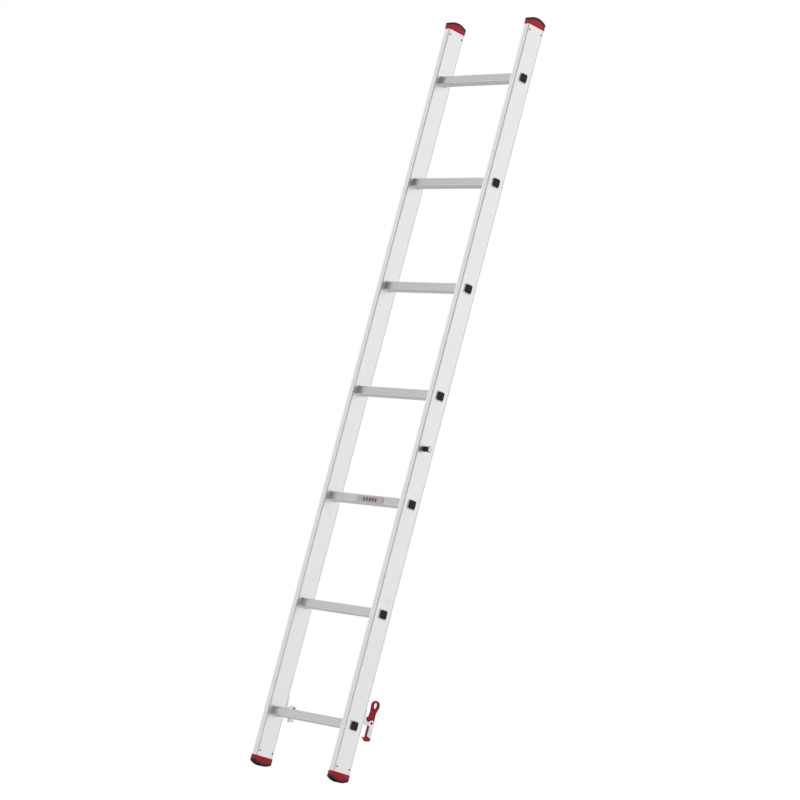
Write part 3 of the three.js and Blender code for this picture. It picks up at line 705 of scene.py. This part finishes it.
def rung_shell():
    """A rung about the X axis: a rounded square loop carried along X.

    The loop is pushed out by rise(x), which is the collar's height under the inner collar and over the
    flare and 0 elsewhere, and drawn in by the flutes, depth (1 - cos(2 pi t / pitch)) / 2 at a distance t
    from the middle of a side, which fade out before the collars. The bore closes the skin at both ends."""
    sizes = settings().rung
    low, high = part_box("rung_1")
    stile_low, stile_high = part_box("stile_right")
    centre, end = (low.x + high.x) / 2, (high.x - low.x) / 2
    inner_face = stile_low.x - centre - sizes.seat
    outer_face = stile_high.x - centre + sizes.seat
    crest = inner_face - sizes.collar_length
    rise, lip = sizes.collar_rise, 0.25 * MM
    stations = [(0, 0, 1), (crest - 9 * MM, 0, 1), (crest - 5 * MM, 0, 0), (crest - 2 * MM, 0, 0)]
    stations += [(crest - 1.2 * MM, 0.12, 0), (crest - 0.5 * MM, 0.5, 0), (crest + 0.2 * MM, 0.88, 0)]
    stations += [(crest + 0.9 * MM, 1, 0), (inner_face - 2 * lip, 1, 0), (inner_face - lip, 0.93, 0)]
    stations += [(inner_face, 0.75, 0), (inner_face, 0, 0), (outer_face, 0, 0), (outer_face, 0.8, 0)]
    stations += [(outer_face + lip, 1, 0), (end - 2 * lip, 0.97, 0), (end - lip, 0.85, 0), (end, 0.5, 0)]
    x, bulge, fluted = np.array([(-x, *rest) for x, *rest in stations[:0:-1]] + stations).T
    loop, normal, along = rounded_loop(sizes.size, sizes.size, sizes.corner, along=35, steps=5)
    within = np.abs(along) <= sizes.flutes * sizes.flute_pitch / 2
    wave = (1 - np.cos(2 * np.pi * along / sizes.flute_pitch)) / 2
    flute = sizes.flute_depth * np.where(within, wave, 0)
    push = bulge[:, None] * rise - fluted[:, None] * flute
    skin = np.empty((len(x), len(loop), 3))
    skin[:, :, 0] = x[:, None]
    skin[:, :, 1:] = loop + push[:, :, None] * normal
    bore = np.empty((2, len(loop), 3))
    bore[:, :, 0] = [[x[-1]], [x[0]]]
    bore[:, :, 1:] = loop - sizes.wall * normal
    return ring_shell(np.concatenate([skin, bore]))


def plug_shell(low, high):
    """The plug of the right-hand end of a rung: a rounded square stem, and a face with well rounded
    corners that falls away from its middle: at the share s of the way in, by drop (1 - s)^4. low and high
    are the corners of its box."""
    sizes = settings().rung
    face = high.z - low.z
    loop, _, _ = rounded_loop(face, face, sizes.plug_corner, along=2, steps=8)
    seat = high.x - sizes.plug_thick
    stem = sizes.wall + 0.3 * MM - sizes.plug_reveal
    drop, way = 0.6 * MM, 4.2 * MM
    levels = [(low.x, stem + 0.8 * MM), (low.x + 1 * MM, stem), (seat, stem), (seat, 0.15 * MM)]
    levels += [(seat + 0.2 * MM, 0), (high.x - drop - 0.1 * MM, 0)]
    levels += [(high.x - drop * (1 - s) ** 4, way * s * s) for s in np.linspace(0, 1, 9)[1:]]
    levels += [(high.x, way + 0.2 * MM)]
    return stacked_shell(plane_loops(loop, levels)).moved(foot_of_line(low, high))


def arch(half, drop, crest, count):
    """Points from front to back on the arc of a circle whose lowest point is at z = crest, and whose ends
    are drop higher at y = -half and half. With radius r and angle a, y = r sin a and z = crest + r (1 -
    cos a). Returns the points and the outward directions."""
    radius = (half * half + drop * drop) / (2 * drop)
    angle = np.linspace(-1, 1, count) * math.asin(half / radius)
    out = towards(angle - math.pi / 2)
    return radius * out + [0, crest + radius], out


def cap_shell(node):
    """A lower cap about its stile's axis, its crest at z = 0: an arched body and a tongue up the stile."""
    sizes = settings().cap
    low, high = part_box(node)
    tread_low, tread_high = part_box(f"{node}_tread")
    half = (tread_high.y - tread_low.y) / 2
    crest = tread_high.z - tread_low.z - sizes.tread
    height = high.z - tread_low.z
    seat = 0.1 * MM
    arc, _ = arch(half, crest, sizes.tread + seat, ARC_POINTS)
    top = height - sizes.tenon - seat
    outline = np.concatenate([arc, [[half, top], [half - seat, top], [seat - half, top], [-half, top]]])
    body = slab_shell(outline, (high.x - low.x) / 2, sizes.edge)
    stile_low, stile_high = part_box("stile_right")
    gap = 2 * (settings().stile.wall + 0.3 * MM)
    loop, _, _ = rounded_loop(stile_high.x - stile_low.x - gap, 2 * (half - 0.5 * MM) - gap, 0.8 * MM)
    point = 1 * MM
    tongue = stacked_shell(plane_loops(loop, [(top - point, 0), (height - point, 0), (height, point)], 2))
    return body + tongue


def tread_shell(node):
    """A tread about its stile's axis, crest at z = 0: the band between two arcs, a tread's thickness
    apart. The outer arc is cut by grooves across it: at the share s of the way along, the depth is the
    smooth step of cos(2 pi ribs s) from 0.55 to 0.85."""
    sizes = settings().cap
    low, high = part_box(node)
    half = (high.y - low.y) / 2
    drop = high.z - low.z - sizes.tread
    lower, out = arch(half, drop, 0, TREAD_POINTS)
    share = np.linspace(0, 1, len(lower))
    cut = sizes.rib_depth * smooth_step(0.55, 0.85, np.cos(2 * np.pi * (sizes.ribs * share + 0.5)))
    upper, _ = arch(half, drop, sizes.tread, ARC_POINTS)
    outline = np.concatenate([lower - out * cut[:, None], upper[::-1]])
    return slab_shell(outline, (high.x - low.x) / 2, 0.35 * MM, 2)


def dome(foot, radius, rise, dimple=0.45, steps=6):
    """Profile of a rivet's head from its rim to its middle: (foot + rise sin a, radius cos a), cut off
    by a flat-bottomed dimple whose radius is that share of the head's."""
    angle = np.linspace(0, math.acos(dimple), steps)
    rim = np.stack([foot + rise * np.sin(angle), radius * np.cos(angle)], 1)
    return np.concatenate([rim, [[rim[-1, 0] - 0.35 * rise, radius * dimple * 0.8]]])


def headed_shell(half, radius, shank, rise, dimple=0.45, segments=24):
    """A pin along X about the origin, from a dimpled dome on one end to one on the other."""
    right = np.concatenate([[[half - rise, shank]], dome(half - rise, radius, rise, dimple)])
    return turned_shell(np.concatenate([right[::-1] * [-1, 1], right]), (0, 0, 0), segments=segments)


def through_rivet_shell(node):
    """A rivet through a stile, along X."""
    low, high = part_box(node)
    radius = (high.z - low.z) / 2
    return headed_shell((high.x - low.x) / 2, radius, 0.6 * radius, 0.9 * MM).moved((low + high) / 2)


def blind_rivet_shell(low, high):
    """A blind rivet along Y: its bulb inside the stile, its dimpled dome on the hook's flange."""
    rise, shank = 2.2 * MM, 2.4 * MM
    foot, bulge = high.y - rise, shank + 0.9 * MM
    bulb = [(low.y, 0.7 * shank), (low.y + 0.5 * MM, shank), (low.y + 1.6 * MM, bulge)]
    bulb += [(low.y + 3 * MM, bulge), (low.y + 3.4 * MM, shank), (foot, shank)]
    profile = np.concatenate([bulb, dome(foot, (high.z - low.z) / 2, rise, 0.4)])
    return turned_shell(profile, foot_of_line(low, high, 1), axis=1, segments=28)


def sleeve_shell(low, high):
    """The guide sleeve: a tube with three shallow rings and a flange at its free end."""
    flange = (high.z - low.z) / 2
    radius, bore, neck = flange - 1 * MM, 4.15 * MM, high.x - 2.6 * MM
    count, sides, round_off = 25, 40, 0.5 * MM
    barrel = radius - 0.25 * MM * (1 - np.cos(2 * np.pi * np.linspace(0, 3, count))) / 2
    profile = [(low.x, bore), (low.x, radius - 0.4 * MM), (low.x + 0.4 * MM, radius)]
    profile += list(zip(np.linspace(low.x + 2 * MM, neck - 2 * MM, count), barrel))
    profile += [(neck - 0.8 * MM, radius), (neck - 0.2 * MM, radius + 0.2 * MM), (neck, flange - round_off)]
    profile += [(neck + round_off, flange), (high.x - round_off, flange)]
    profile += [(high.x - 0.15 * MM, flange - 0.15 * MM), (high.x, flange - round_off), (high.x, bore)]
    tube = turned_shell(profile, foot_of_line(low, high), segments=sides)
    return ring_shell(tube.points.reshape(len(profile), sides, 3))


def stud_shell(low, high):
    """The guide stud: a bulb in the stile, a shank, and a wide head with a hollow middle."""
    head, shank, rise = (high.z - low.z) / 2, 4 * MM, 1.4 * MM
    foot = high.x - rise
    floor = foot + 0.3 * MM
    bulb = [(0, 3), (0.5, 5), (1.5, 5.6), (3, 5.6)]
    profile = [(low.x + along * MM, radius * MM) for along, radius in bulb]
    profile += [(low.x + 3 * MM, shank), (foot, shank), (foot, head - 0.2 * MM), (foot + 0.2 * MM, head)]
    profile += [(foot + 0.7 * MM, head), (high.x - 0.15 * MM, head * 0.93), (high.x, head * 0.86)]
    profile += [(high.x, head * 0.5), (high.x - 0.4 * MM, head * 0.42)]
    profile += [(floor, head * 0.36), (floor, head * 0.06)]
    return turned_shell(profile, foot_of_line(low, high), segments=40)


# ---------------------------------------------------------------- latch
def handle_loop(inside, count=220):
    """The handle's edge drawn in by `inside`, counterclockwise, as (back, up) from the pivot: a neck, a
    round end and a neck, resampled evenly and softened by a running mean of neighbours. Its middle line
    leans back as the square of the height."""
    sizes = settings().latch
    waist, high = sizes.neck - sizes.waist - inside, 0.6 * sizes.handle_rise
    lean = 0.36 * sizes.handle_set
    end = (sizes.handle_radius - inside) * towards(np.linspace(-0.35, math.pi + 0.35, 60))
    end += [sizes.handle_set, sizes.handle_rise]
    foot = sizes.neck - inside
    low = sizes.handle_low + inside
    behind, before = [[foot, low], [lean + waist, high]], [[lean - waist, high], [-foot, low]]
    corners = np.concatenate([behind, end, before])
    closed = np.concatenate([corners, corners[:1]])
    run = np.concatenate([[0], np.cumsum(np.linalg.norm(np.diff(closed, axis=0), axis=1))])
    place = np.linspace(0, run[-1], count, endpoint=False)
    loop = np.stack([np.interp(place, run, closed[:, i]) for i in range(2)], 1)
    for _ in range(6):
        loop = (np.roll(loop, 1, axis=0) + 2 * loop + np.roll(loop, -1, axis=0)) / 4
    return loop


def slot_loop(outside):
    """The slot's edge moved out by `outside`, each point in the direction of the handle's edge.

    In a direction (b, u) from the slot's centre, its flat side is radius / |b| away, and its round end
    reach |u| + the root of (radius² - reach² b²)."""
    sizes = settings().latch
    centre = np.array([sizes.handle_set, sizes.handle_rise])
    direction = handle_loop(0) - centre
    direction /= np.linalg.norm(direction, axis=1, keepdims=True)
    side, up = np.abs(direction).T
    reach, radius = sizes.slot_reach, sizes.slot_radius + outside
    to_flat = radius / np.maximum(side, 1e-9)
    to_round = reach * up + np.sqrt(np.maximum(radius**2 - (reach * side) ** 2, 0))
    return centre + direction * np.where(to_flat * up <= reach, to_flat, to_round)[:, None]


def handle_shell():
    """The handle with its finger slot, about the pivot.

    The section from the outer edge to the slot is a closed run of (loop, distance, height): up over the
    rim, down to the panel, up to the slot's lip and through it, and back on the other face."""
    sizes = settings().latch
    outer, slot = handle_loop, slot_loop
    half = sizes.handle_thick / 2
    panel = half - sizes.recess
    rim, edge, lip = sizes.rim, 1 * MM, 1.5 * MM
    bend = np.linspace(0, math.pi / 2, 5)
    face = [(outer, edge * (1 - math.cos(a)), half - edge + edge * math.sin(a)) for a in bend]
    face += [(outer, rim - 0.3 * MM, half), (outer, rim, half - 0.15 * MM)]
    face += [(outer, rim + 0.4 * MM, panel + 0.15 * MM), (outer, rim + 0.7 * MM, panel)]
    face += [(slot, lip + 0.3 * MM, panel), (slot, lip, panel + 0.12 * MM)]
    face += [(slot, lip - 0.3 * MM, half - 0.2 * MM), (slot, 0.8 * MM, half)]
    face += [(slot, 0.3 * MM, half - 0.12 * MM), (slot, 0, half - 0.5 * MM)]
    section = face + [(loop, distance, -height) for loop, distance, height in reversed(face)]
    flat = np.array([loop(distance) for loop, distance, _ in section])
    height = np.array([height for _, _, height in section])
    height = np.broadcast_to(height[:, None, None], (*flat.shape[:2], 1))
    return ring_shell(np.concatenate([height, flat], axis=2))


def curve_points(start, bend, end, count=8):
    """Points of the curve (1 - t)² start + 2 t (1 - t) bend + t² end, without its first."""
    t = np.linspace(0, 1, count)[1:, None]
    return (1 - t) ** 2 * np.array(start) + 2 * t * (1 - t) * np.array(bend) + t**2 * np.array(end)


def blade_shell():
    """The lever between the cheeks: its leg, and the hump over the spring, as one rounded slab."""
    sizes = settings().latch
    hook_low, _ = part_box("hook_right")
    leg_front = -4.5 * MM
    leg_low = hook_low.z - PIVOT.z - 3 * MM
    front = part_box("stile_right")[1].y - PIVOT.y + 14.4 * MM
    hump_low = 3.8 * MM
    bend = 3 * MM
    top = sizes.handle_low
    outline = np.concatenate(
        [
            [[leg_front, leg_low], [sizes.leg_back, leg_low], [sizes.leg_back, 0]],
            [[sizes.neck, top], [sizes.neck - 1 * MM, top + 3 * MM]],
            [[1 * MM - sizes.neck, top + 6 * MM], [front, top + 2.5 * MM]],
            curve_points((front, hump_low + bend), (front, hump_low), (front + bend, hump_low)),
            [[leg_front, hump_low]],
        ]
    )
    return slab_shell(outline, sizes.blade / 2, 0.6 * MM)


def foot_shell():
    """The foot under the hook: a toe that reaches forward, a deep sole and a rounded heel."""
    sizes = settings().latch
    low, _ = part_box("latch_lever")
    hook_low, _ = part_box("hook_right")
    top = hook_low.z - PIVOT.z - 1.3 * MM
    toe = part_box("stile_right")[1].y - PIVOT.y + 15 * MM
    toe_length = 12.4 * MM
    deep = top - (low.z - PIVOT.z)
    heel = 12.2 * MM

    def at(along, down):
        return (toe + along * toe_length, top - down * deep)

    outline = np.concatenate(
        [
            [at(0, 0.24)],
            curve_points(at(0, 0.24), at(0.33, 0.3), at(0.53, 0.7)),
            curve_points(at(0.53, 0.7), at(0.75, 1.02), at(1, 1)),
            [(heel - 3 * MM, at(0, 0.8)[1])],
            curve_points((heel - 3 * MM, at(0, 0.8)[1]), (heel, at(0, 0.68)[1]), (heel, at(0, 0.3)[1])),
            [(heel, top), at(0.67, 0), at(0, 0.12)],
        ]
    )
    return slab_shell(outline, sizes.foot / 2, 0.5 * MM)


def united(name, shells):
    """One mesh from solids that overlap, joined by exact Boolean unions."""
    made = [placed(f"{name}_{i}", mesh_of(f"{name}_{i}", shell)) for i, shell in enumerate(shells)]
    first, *rest = made
    for part in rest:
        union = first.modifiers.new("union", "BOOLEAN")
        union.operation = "UNION"
        union.solver = "EXACT"
        union.object = part
    bpy.context.view_layer.update()
    whole = bpy.data.meshes.new_from_object(first.evaluated_get(bpy.context.evaluated_depsgraph_get()))
    for part in made:
        mesh = part.data
        bpy.data.objects.remove(part)
        bpy.data.meshes.remove(mesh)
    return whole


def spring_shell(low, high):
    """A coil that stands on the hook's roof: a circle of the wire's radius carried round a helix whose
    first and last half turns lie nearly level."""
    sizes = settings().latch
    count, sides = 40 * sizes.turns, 12
    t = np.linspace(0, 1, count)
    around = 2 * np.pi * sizes.turns * t
    wire = sizes.wire
    level = smooth_step(0, 1, t) * 0.35 + t * 0.65
    outward = np.column_stack([towards(around), np.zeros(count)])
    path = sizes.coil * outward
    path[:, :2] += ((low + high) / 2).xy
    path[:, 2] = low.z + wire + level * (high.z - low.z - 2 * wire)
    ahead = np.gradient(path, axis=0)
    ahead /= np.linalg.norm(ahead, axis=1, keepdims=True)
    upward = np.cross(ahead, outward)
    angle = np.linspace(0, 2 * np.pi, sides, endpoint=False)
    ring = np.cos(angle)[None, :, None] * outward[:, None] + np.sin(angle)[None, :, None] * upward[:, None]
    return stacked_shell(path[:, None] + wire * ring)


# ---------------------------------------------------------------- operators
class LadderOperator:
    """What every operator here shares."""

    bl_options = {"REGISTER", "UNDO"}

    def execute(self, context):
        self.build(context.scene.ladder)
        return {"FINISHED"}


class LADDER_OT_stiles(LadderOperator, bpy.types.Operator):
    """Make the two grooved stiles, holed for the rungs"""

    bl_idname = "ladder.make_stiles"
    bl_label = "Stiles"

    def build(self, ladder):
        metal = drawn_metal("mill_aluminium", ladder.colours.stile, 2, 0.34)
        for side in SIDES:
            add_piece(f"{side}_stile", stile_shell(side), metal, f"stile_{side}")


class LADDER_OT_rungs(LadderOperator, bpy.types.Operator):
    """Make the fluted rungs with their pressed collars, and the plugs in their ends"""

    bl_idname = "ladder.make_rungs"
    bl_label = "Rungs and plugs"

    def build(self, ladder):
        metal = drawn_metal("rung_aluminium", ladder.colours.rung, 0, 0.27)
        tube = rung_shell()
        for i in range(1, RUNG_COUNT + 1):
            node = f"rung_{i}"
            centre = middle(node)
            add_piece(f"fluted_{node}", tube.moved(centre), metal, node)
            low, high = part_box(f"{node}_plug_right")
            plug = plug_shell(low - centre, high - centre)
            for side, shell in (("right", plug), ("left", plug.mirrored())):
                name = f"{node}_plug_{side}"
                add_piece(f"faced_{name}", shell.moved(centre), black_plastic(), name)


class LADDER_OT_label(LadderOperator, bpy.types.Operator):
    """Make the blank label on the third rung"""

    bl_idname = "ladder.make_label"
    bl_label = "Label"

    def build(self, ladder):
        low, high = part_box("rung_label")
        edge = 0.05 * MM
        loop, _, _ = rounded_loop(high.z - low.z, high.x - low.x, 1.5 * MM)
        loops = plane_loops(loop, [(low.y, edge), (low.y + edge, 0), (high.y, 0)], axis=1)
        film = stacked_shell(loops).moved(foot_of_line(low, high, 1))
        tints = ladder.colours
        material = label_film("label_film", tints.label, tints.label_bar, low, high)
        add_piece("blank_label", film, material, "rung_label")


class LADDER_OT_caps(LadderOperator, bpy.types.Operator):
    """Make the four arched caps, their ribbed treads and their rivets"""

    bl_idname = "ladder.make_caps"
    bl_label = "Caps and treads"

    def build(self, ladder):
        red = moulded("red_plastic", ladder.colours.red, 0.36, 0.06 * MM, 0.2, 0.22)
        black = rubber("tread_rubber", ladder.colours.rubber, 0.72)
        cap, tread = cap_shell("foot_right"), tread_shell("foot_right_tread")
        upper_cap, upper_tread = cap.mirrored(2), tread.mirrored(2)
        for side in SIDES:
            foot, top = f"foot_{side}", f"top_cap_{side}"
            low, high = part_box(f"{foot}_tread")
            at = (*((low + high) / 2).xy, low.z)
            add_piece(f"{side}_foot", cap.moved(at), red, foot)
            add_piece(f"{side}_foot_tread", tread.moved(at), black, f"{foot}_tread")
            low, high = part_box(f"{top}_tread")
            at = (*((low + high) / 2).xy, high.z)
            add_piece(f"{side}_top_cap", upper_cap.moved(at), red, top)
            add_piece(f"{side}_top_tread", upper_tread.moved(at), black, f"{top}_tread")
            for name in (f"{node}_rivet_{end}" for node in (foot, top) for end in ("front", "back")):
                add_piece(f"domed_{name}", through_rivet_shell(name), steel(), name)


class LADDER_OT_guide(LadderOperator, bpy.types.Operator):
    """Make the guide stud and its sleeve on the right stile's outer face"""

    bl_idname = "ladder.make_guide"
    bl_label = "Guide stud"

    def build(self, ladder):
        sleeve = sleeve_shell(*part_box("guide_sleeve"))
        add_piece("ringed_sleeve", sleeve, black_plastic(), "guide_sleeve")
        bright = plated_metal("bright_plate", ladder.colours.stud, 0.34)
        add_piece("hollow_stud", stud_shell(*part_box("guide_stud")), bright, "guide_stud")


class LADDER_OT_hooks(LadderOperator, bpy.types.Operator):
    """Make the cast hooks with rounded edges, and their rivets"""

    bl_idname = "ladder.make_hooks"
    bl_label = "Hooks"

    def build(self, ladder):
        cast = cast_metal("cast_aluminium", ladder.colours.hook, 0.4)
        for side in SIDES:
            node = f"hook_{side}"
            hook = add_mesh(f"cast_{node}", self.flat_faces(node), cast, node)
            bevel = hook.modifiers.new("edges", "BEVEL")
            bevel.width = 0.35 * MM
            bevel.segments = 2
            bevel.limit_method = "ANGLE"
            bevel.angle_limit = math.radians(50)
            bevel.harden_normals = True
            for name in (f"{node}_rivet_{end}" for end in ("lower", "upper")):
                add_piece(f"domed_{name}", blind_rivet_shell(*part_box(name)), steel(), name)

    def flat_faces(self, node):
        """A copy of the CAD mesh with its triangles merged into whole faces."""
        mesh = frame["nodes"][node].data.copy()
        shape = bmesh.new()
        shape.from_mesh(mesh)
        bmesh.ops.remove_doubles(shape, verts=shape.verts, dist=0.02 * MM)
        one_degree = math.radians(1)
        bmesh.ops.dissolve_limit(shape, angle_limit=one_degree, verts=shape.verts, edges=shape.edges)
        shape.to_mesh(mesh)
        shape.free()
        return mesh


class LADDER_OT_latch(LadderOperator, bpy.types.Operator):
    """Make the latch: lever, pivot pin and spring"""

    bl_idname = "ladder.make_latch"
    bl_label = "Latch"

    def build(self, ladder):
        red = moulded("latch_plastic", ladder.colours.latch, 0.3, 0.05 * MM, 0.15, 0.2)
        lever = united("lever", [handle_shell(), blade_shell(), foot_shell()])
        lever.name = "lever"
        lever.transform(Matrix.Translation(PIVOT))
        add_mesh("lever", lever, red, "latch_lever", LATCH)

        low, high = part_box("latch_pin")
        half, head = (high.x - low.x) / 2, (high.z - low.z) / 2
        pin = headed_shell(half, head, ladder.latch.pin, 1.1 * MM, 0.5, 32)
        dark = plated_metal("blackened_steel", ladder.colours.pin, 0.35)
        # A lighter grey copy of the pin steel, for the left hook's pin.
        worn = plated_metal("left_pin_steel", ladder.colours.left_pin_grey, 0.35)
        for node, finish in (("latch_pin", dark), ("hook_left_pin", worn)):
            add_piece(f"domed_{node}", pin.moved(middle(node)), finish, node)

        low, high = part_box("latch_spring")
        bright = plated_metal("spring_wire", ladder.colours.wire, 0.22)
        spring = add_piece("return_spring", spring_shell(low, high), bright, "latch_spring")
        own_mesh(spring)


class LADDER_OT_stage(LadderOperator, bpy.types.Operator):
    """Make the pale floor, the soft light and the camera"""

    bl_idname = "ladder.make_stage"
    bl_label = "Stage"

    def build(self, ladder):
        bpy.context.scene.view_settings.view_transform = "Standard"
        self.make_camera(ladder.stage)
        self.make_floor(ladder.stage)
        self.make_sky(ladder.stage)
        self.make_lights(ladder.stage)

    def make_camera(self, stage):
        turn = Matrix.Rotation(stage.heading, 3, "Z") @ Matrix.Rotation(math.pi / 2 + stage.climb, 3, "X")
        turn = turn @ Matrix.Rotation(stage.roll, 3, "Z")
        camera = placed("camera", bpy.data.cameras.new("camera"))
        camera.data.lens = stage.lens
        camera.data.clip_end = 200
        place = Vector(stage.aim) + turn @ Vector((0, 0, stage.distance))
        camera.matrix_world = Matrix.Translation(place) @ turn.to_4x4()
        bpy.context.scene.camera = camera

    def make_floor(self, stage):
        """A wide floor that shows from above and lets a view from below through."""
        reach = 60
        mesh = bpy.data.meshes.new("floor")
        corners = [(-reach, -reach, 0), (reach, -reach, 0), (reach, reach, 0), (-reach, reach, 0)]
        mesh.from_pydata(corners, [], [(0, 1, 2, 3)])
        finish = Finish("pale_floor")
        pale = finish.toned(stage.floor, 0.985 + 0.03 * finish.noise(3))
        top = finish.node("BsdfDiffuse", {"Color": pale, "Roughness": 0.5})
        clear = finish.node("BsdfTransparent")
        below = finish.node("NewGeometry").outputs["Backfacing"]
        mixed = finish.node("MixShader", {0: below, 1: top.outputs[0], 2: clear.outputs[0]})
        mesh.materials.append(finish.ended("Material", mixed))
        placed("floor", mesh)

    def make_sky(self, stage):
        """White all round for the eye. For the light, darker overhead, on the camera's side and on the
        climber's."""
        finish = Finish("studio", "worlds", "Generated")
        toward = (math.sin(stage.heading), -math.cos(stage.heading), 0)
        facing = finish.node("VectorMath", {0: finish.place, 1: toward}, operation="DOT_PRODUCT")
        dark = Value(finish, facing.outputs["Value"]).step(0.15, 0.85)
        overhead = finish.axis(2).step(0.25, 0.95)
        flank = (0 - finish.axis(1)).step(0.25, 0.6)
        strength = stage.sky * (1 - stage.shade * dark) * (1 - stage.ceiling * overhead)
        strength = strength * (1 - stage.flank * flank)
        seen = Value(finish, finish.node("LightPath").outputs["Is Camera Ray"])
        shown = strength * (1 - seen) + seen
        sky = finish.node("Background", {"Color": (1, 1, 1, 1), "Strength": shown})
        bpy.context.scene.world = finish.ended("World", sky)

    def make_lights(self, stage):
        """A key from the right and above, and a fill from behind."""
        for name, watts, place, size in (
            ("key", stage.key, (1.9, -0.9, 5.4), 2.4),
            ("fill", stage.fill, (-0.9, 0.8, 5.0), 2.0),
        ):
            light = placed(name, bpy.data.lights.new(name, "AREA"))
            light.data.energy = watts
            light.data.size = size
            aim = Vector(stage.aim) - Vector(place)
            turn = aim.to_track_quat("-Z", "Y").to_matrix().to_4x4()
            light.matrix_world = Matrix.Translation(place) @ turn


class LADDER_PT_panel(bpy.types.Panel):
    """Lists the pieces and their sizes"""

    bl_idname = "LADDER_PT_panel"
    bl_label = "Ladder section"
    bl_space_type = "VIEW_3D"
    bl_region_type = "UI"
    bl_category = "Ladder"

    def draw(self, context):
        for operator in OPERATORS:
            self.layout.operator(operator.bl_idname)
        ladder = context.scene.ladder
        for group in (ladder.stile, ladder.rung, ladder.cap, ladder.latch, ladder.colours, ladder.stage):
            box = self.layout.box()
            for name in group.bl_rna.properties.keys():
                if name not in ("rna_type", "name"):
                    box.prop(group, name)


GROUPS = (StileSizes, RungSizes, CapSizes, LatchSizes, LadderColours, StageSettings, LadderSettings)
OPERATORS = (
    LADDER_OT_stage,
    LADDER_OT_stiles,
    LADDER_OT_rungs,
    LADDER_OT_label,
    LADDER_OT_caps,
    LADDER_OT_guide,
    LADDER_OT_hooks,
    LADDER_OT_latch,
)


def register():
    for kind in (*GROUPS, *OPERATORS, LADDER_PT_panel):
        bpy.utils.register_class(kind)
    bpy.types.Scene.ladder = PointerProperty(type=LadderSettings)


def unregister():
    del bpy.types.Scene.ladder
    for kind in reversed((*GROUPS, *OPERATORS, LADDER_PT_panel)):
        bpy.utils.unregister_class(kind)


def main():
    register()
    for operator in OPERATORS:
        area, name = operator.bl_idname.split(".")
        getattr(getattr(bpy.ops, area), name)()


if __name__ == "__main__":
    main()
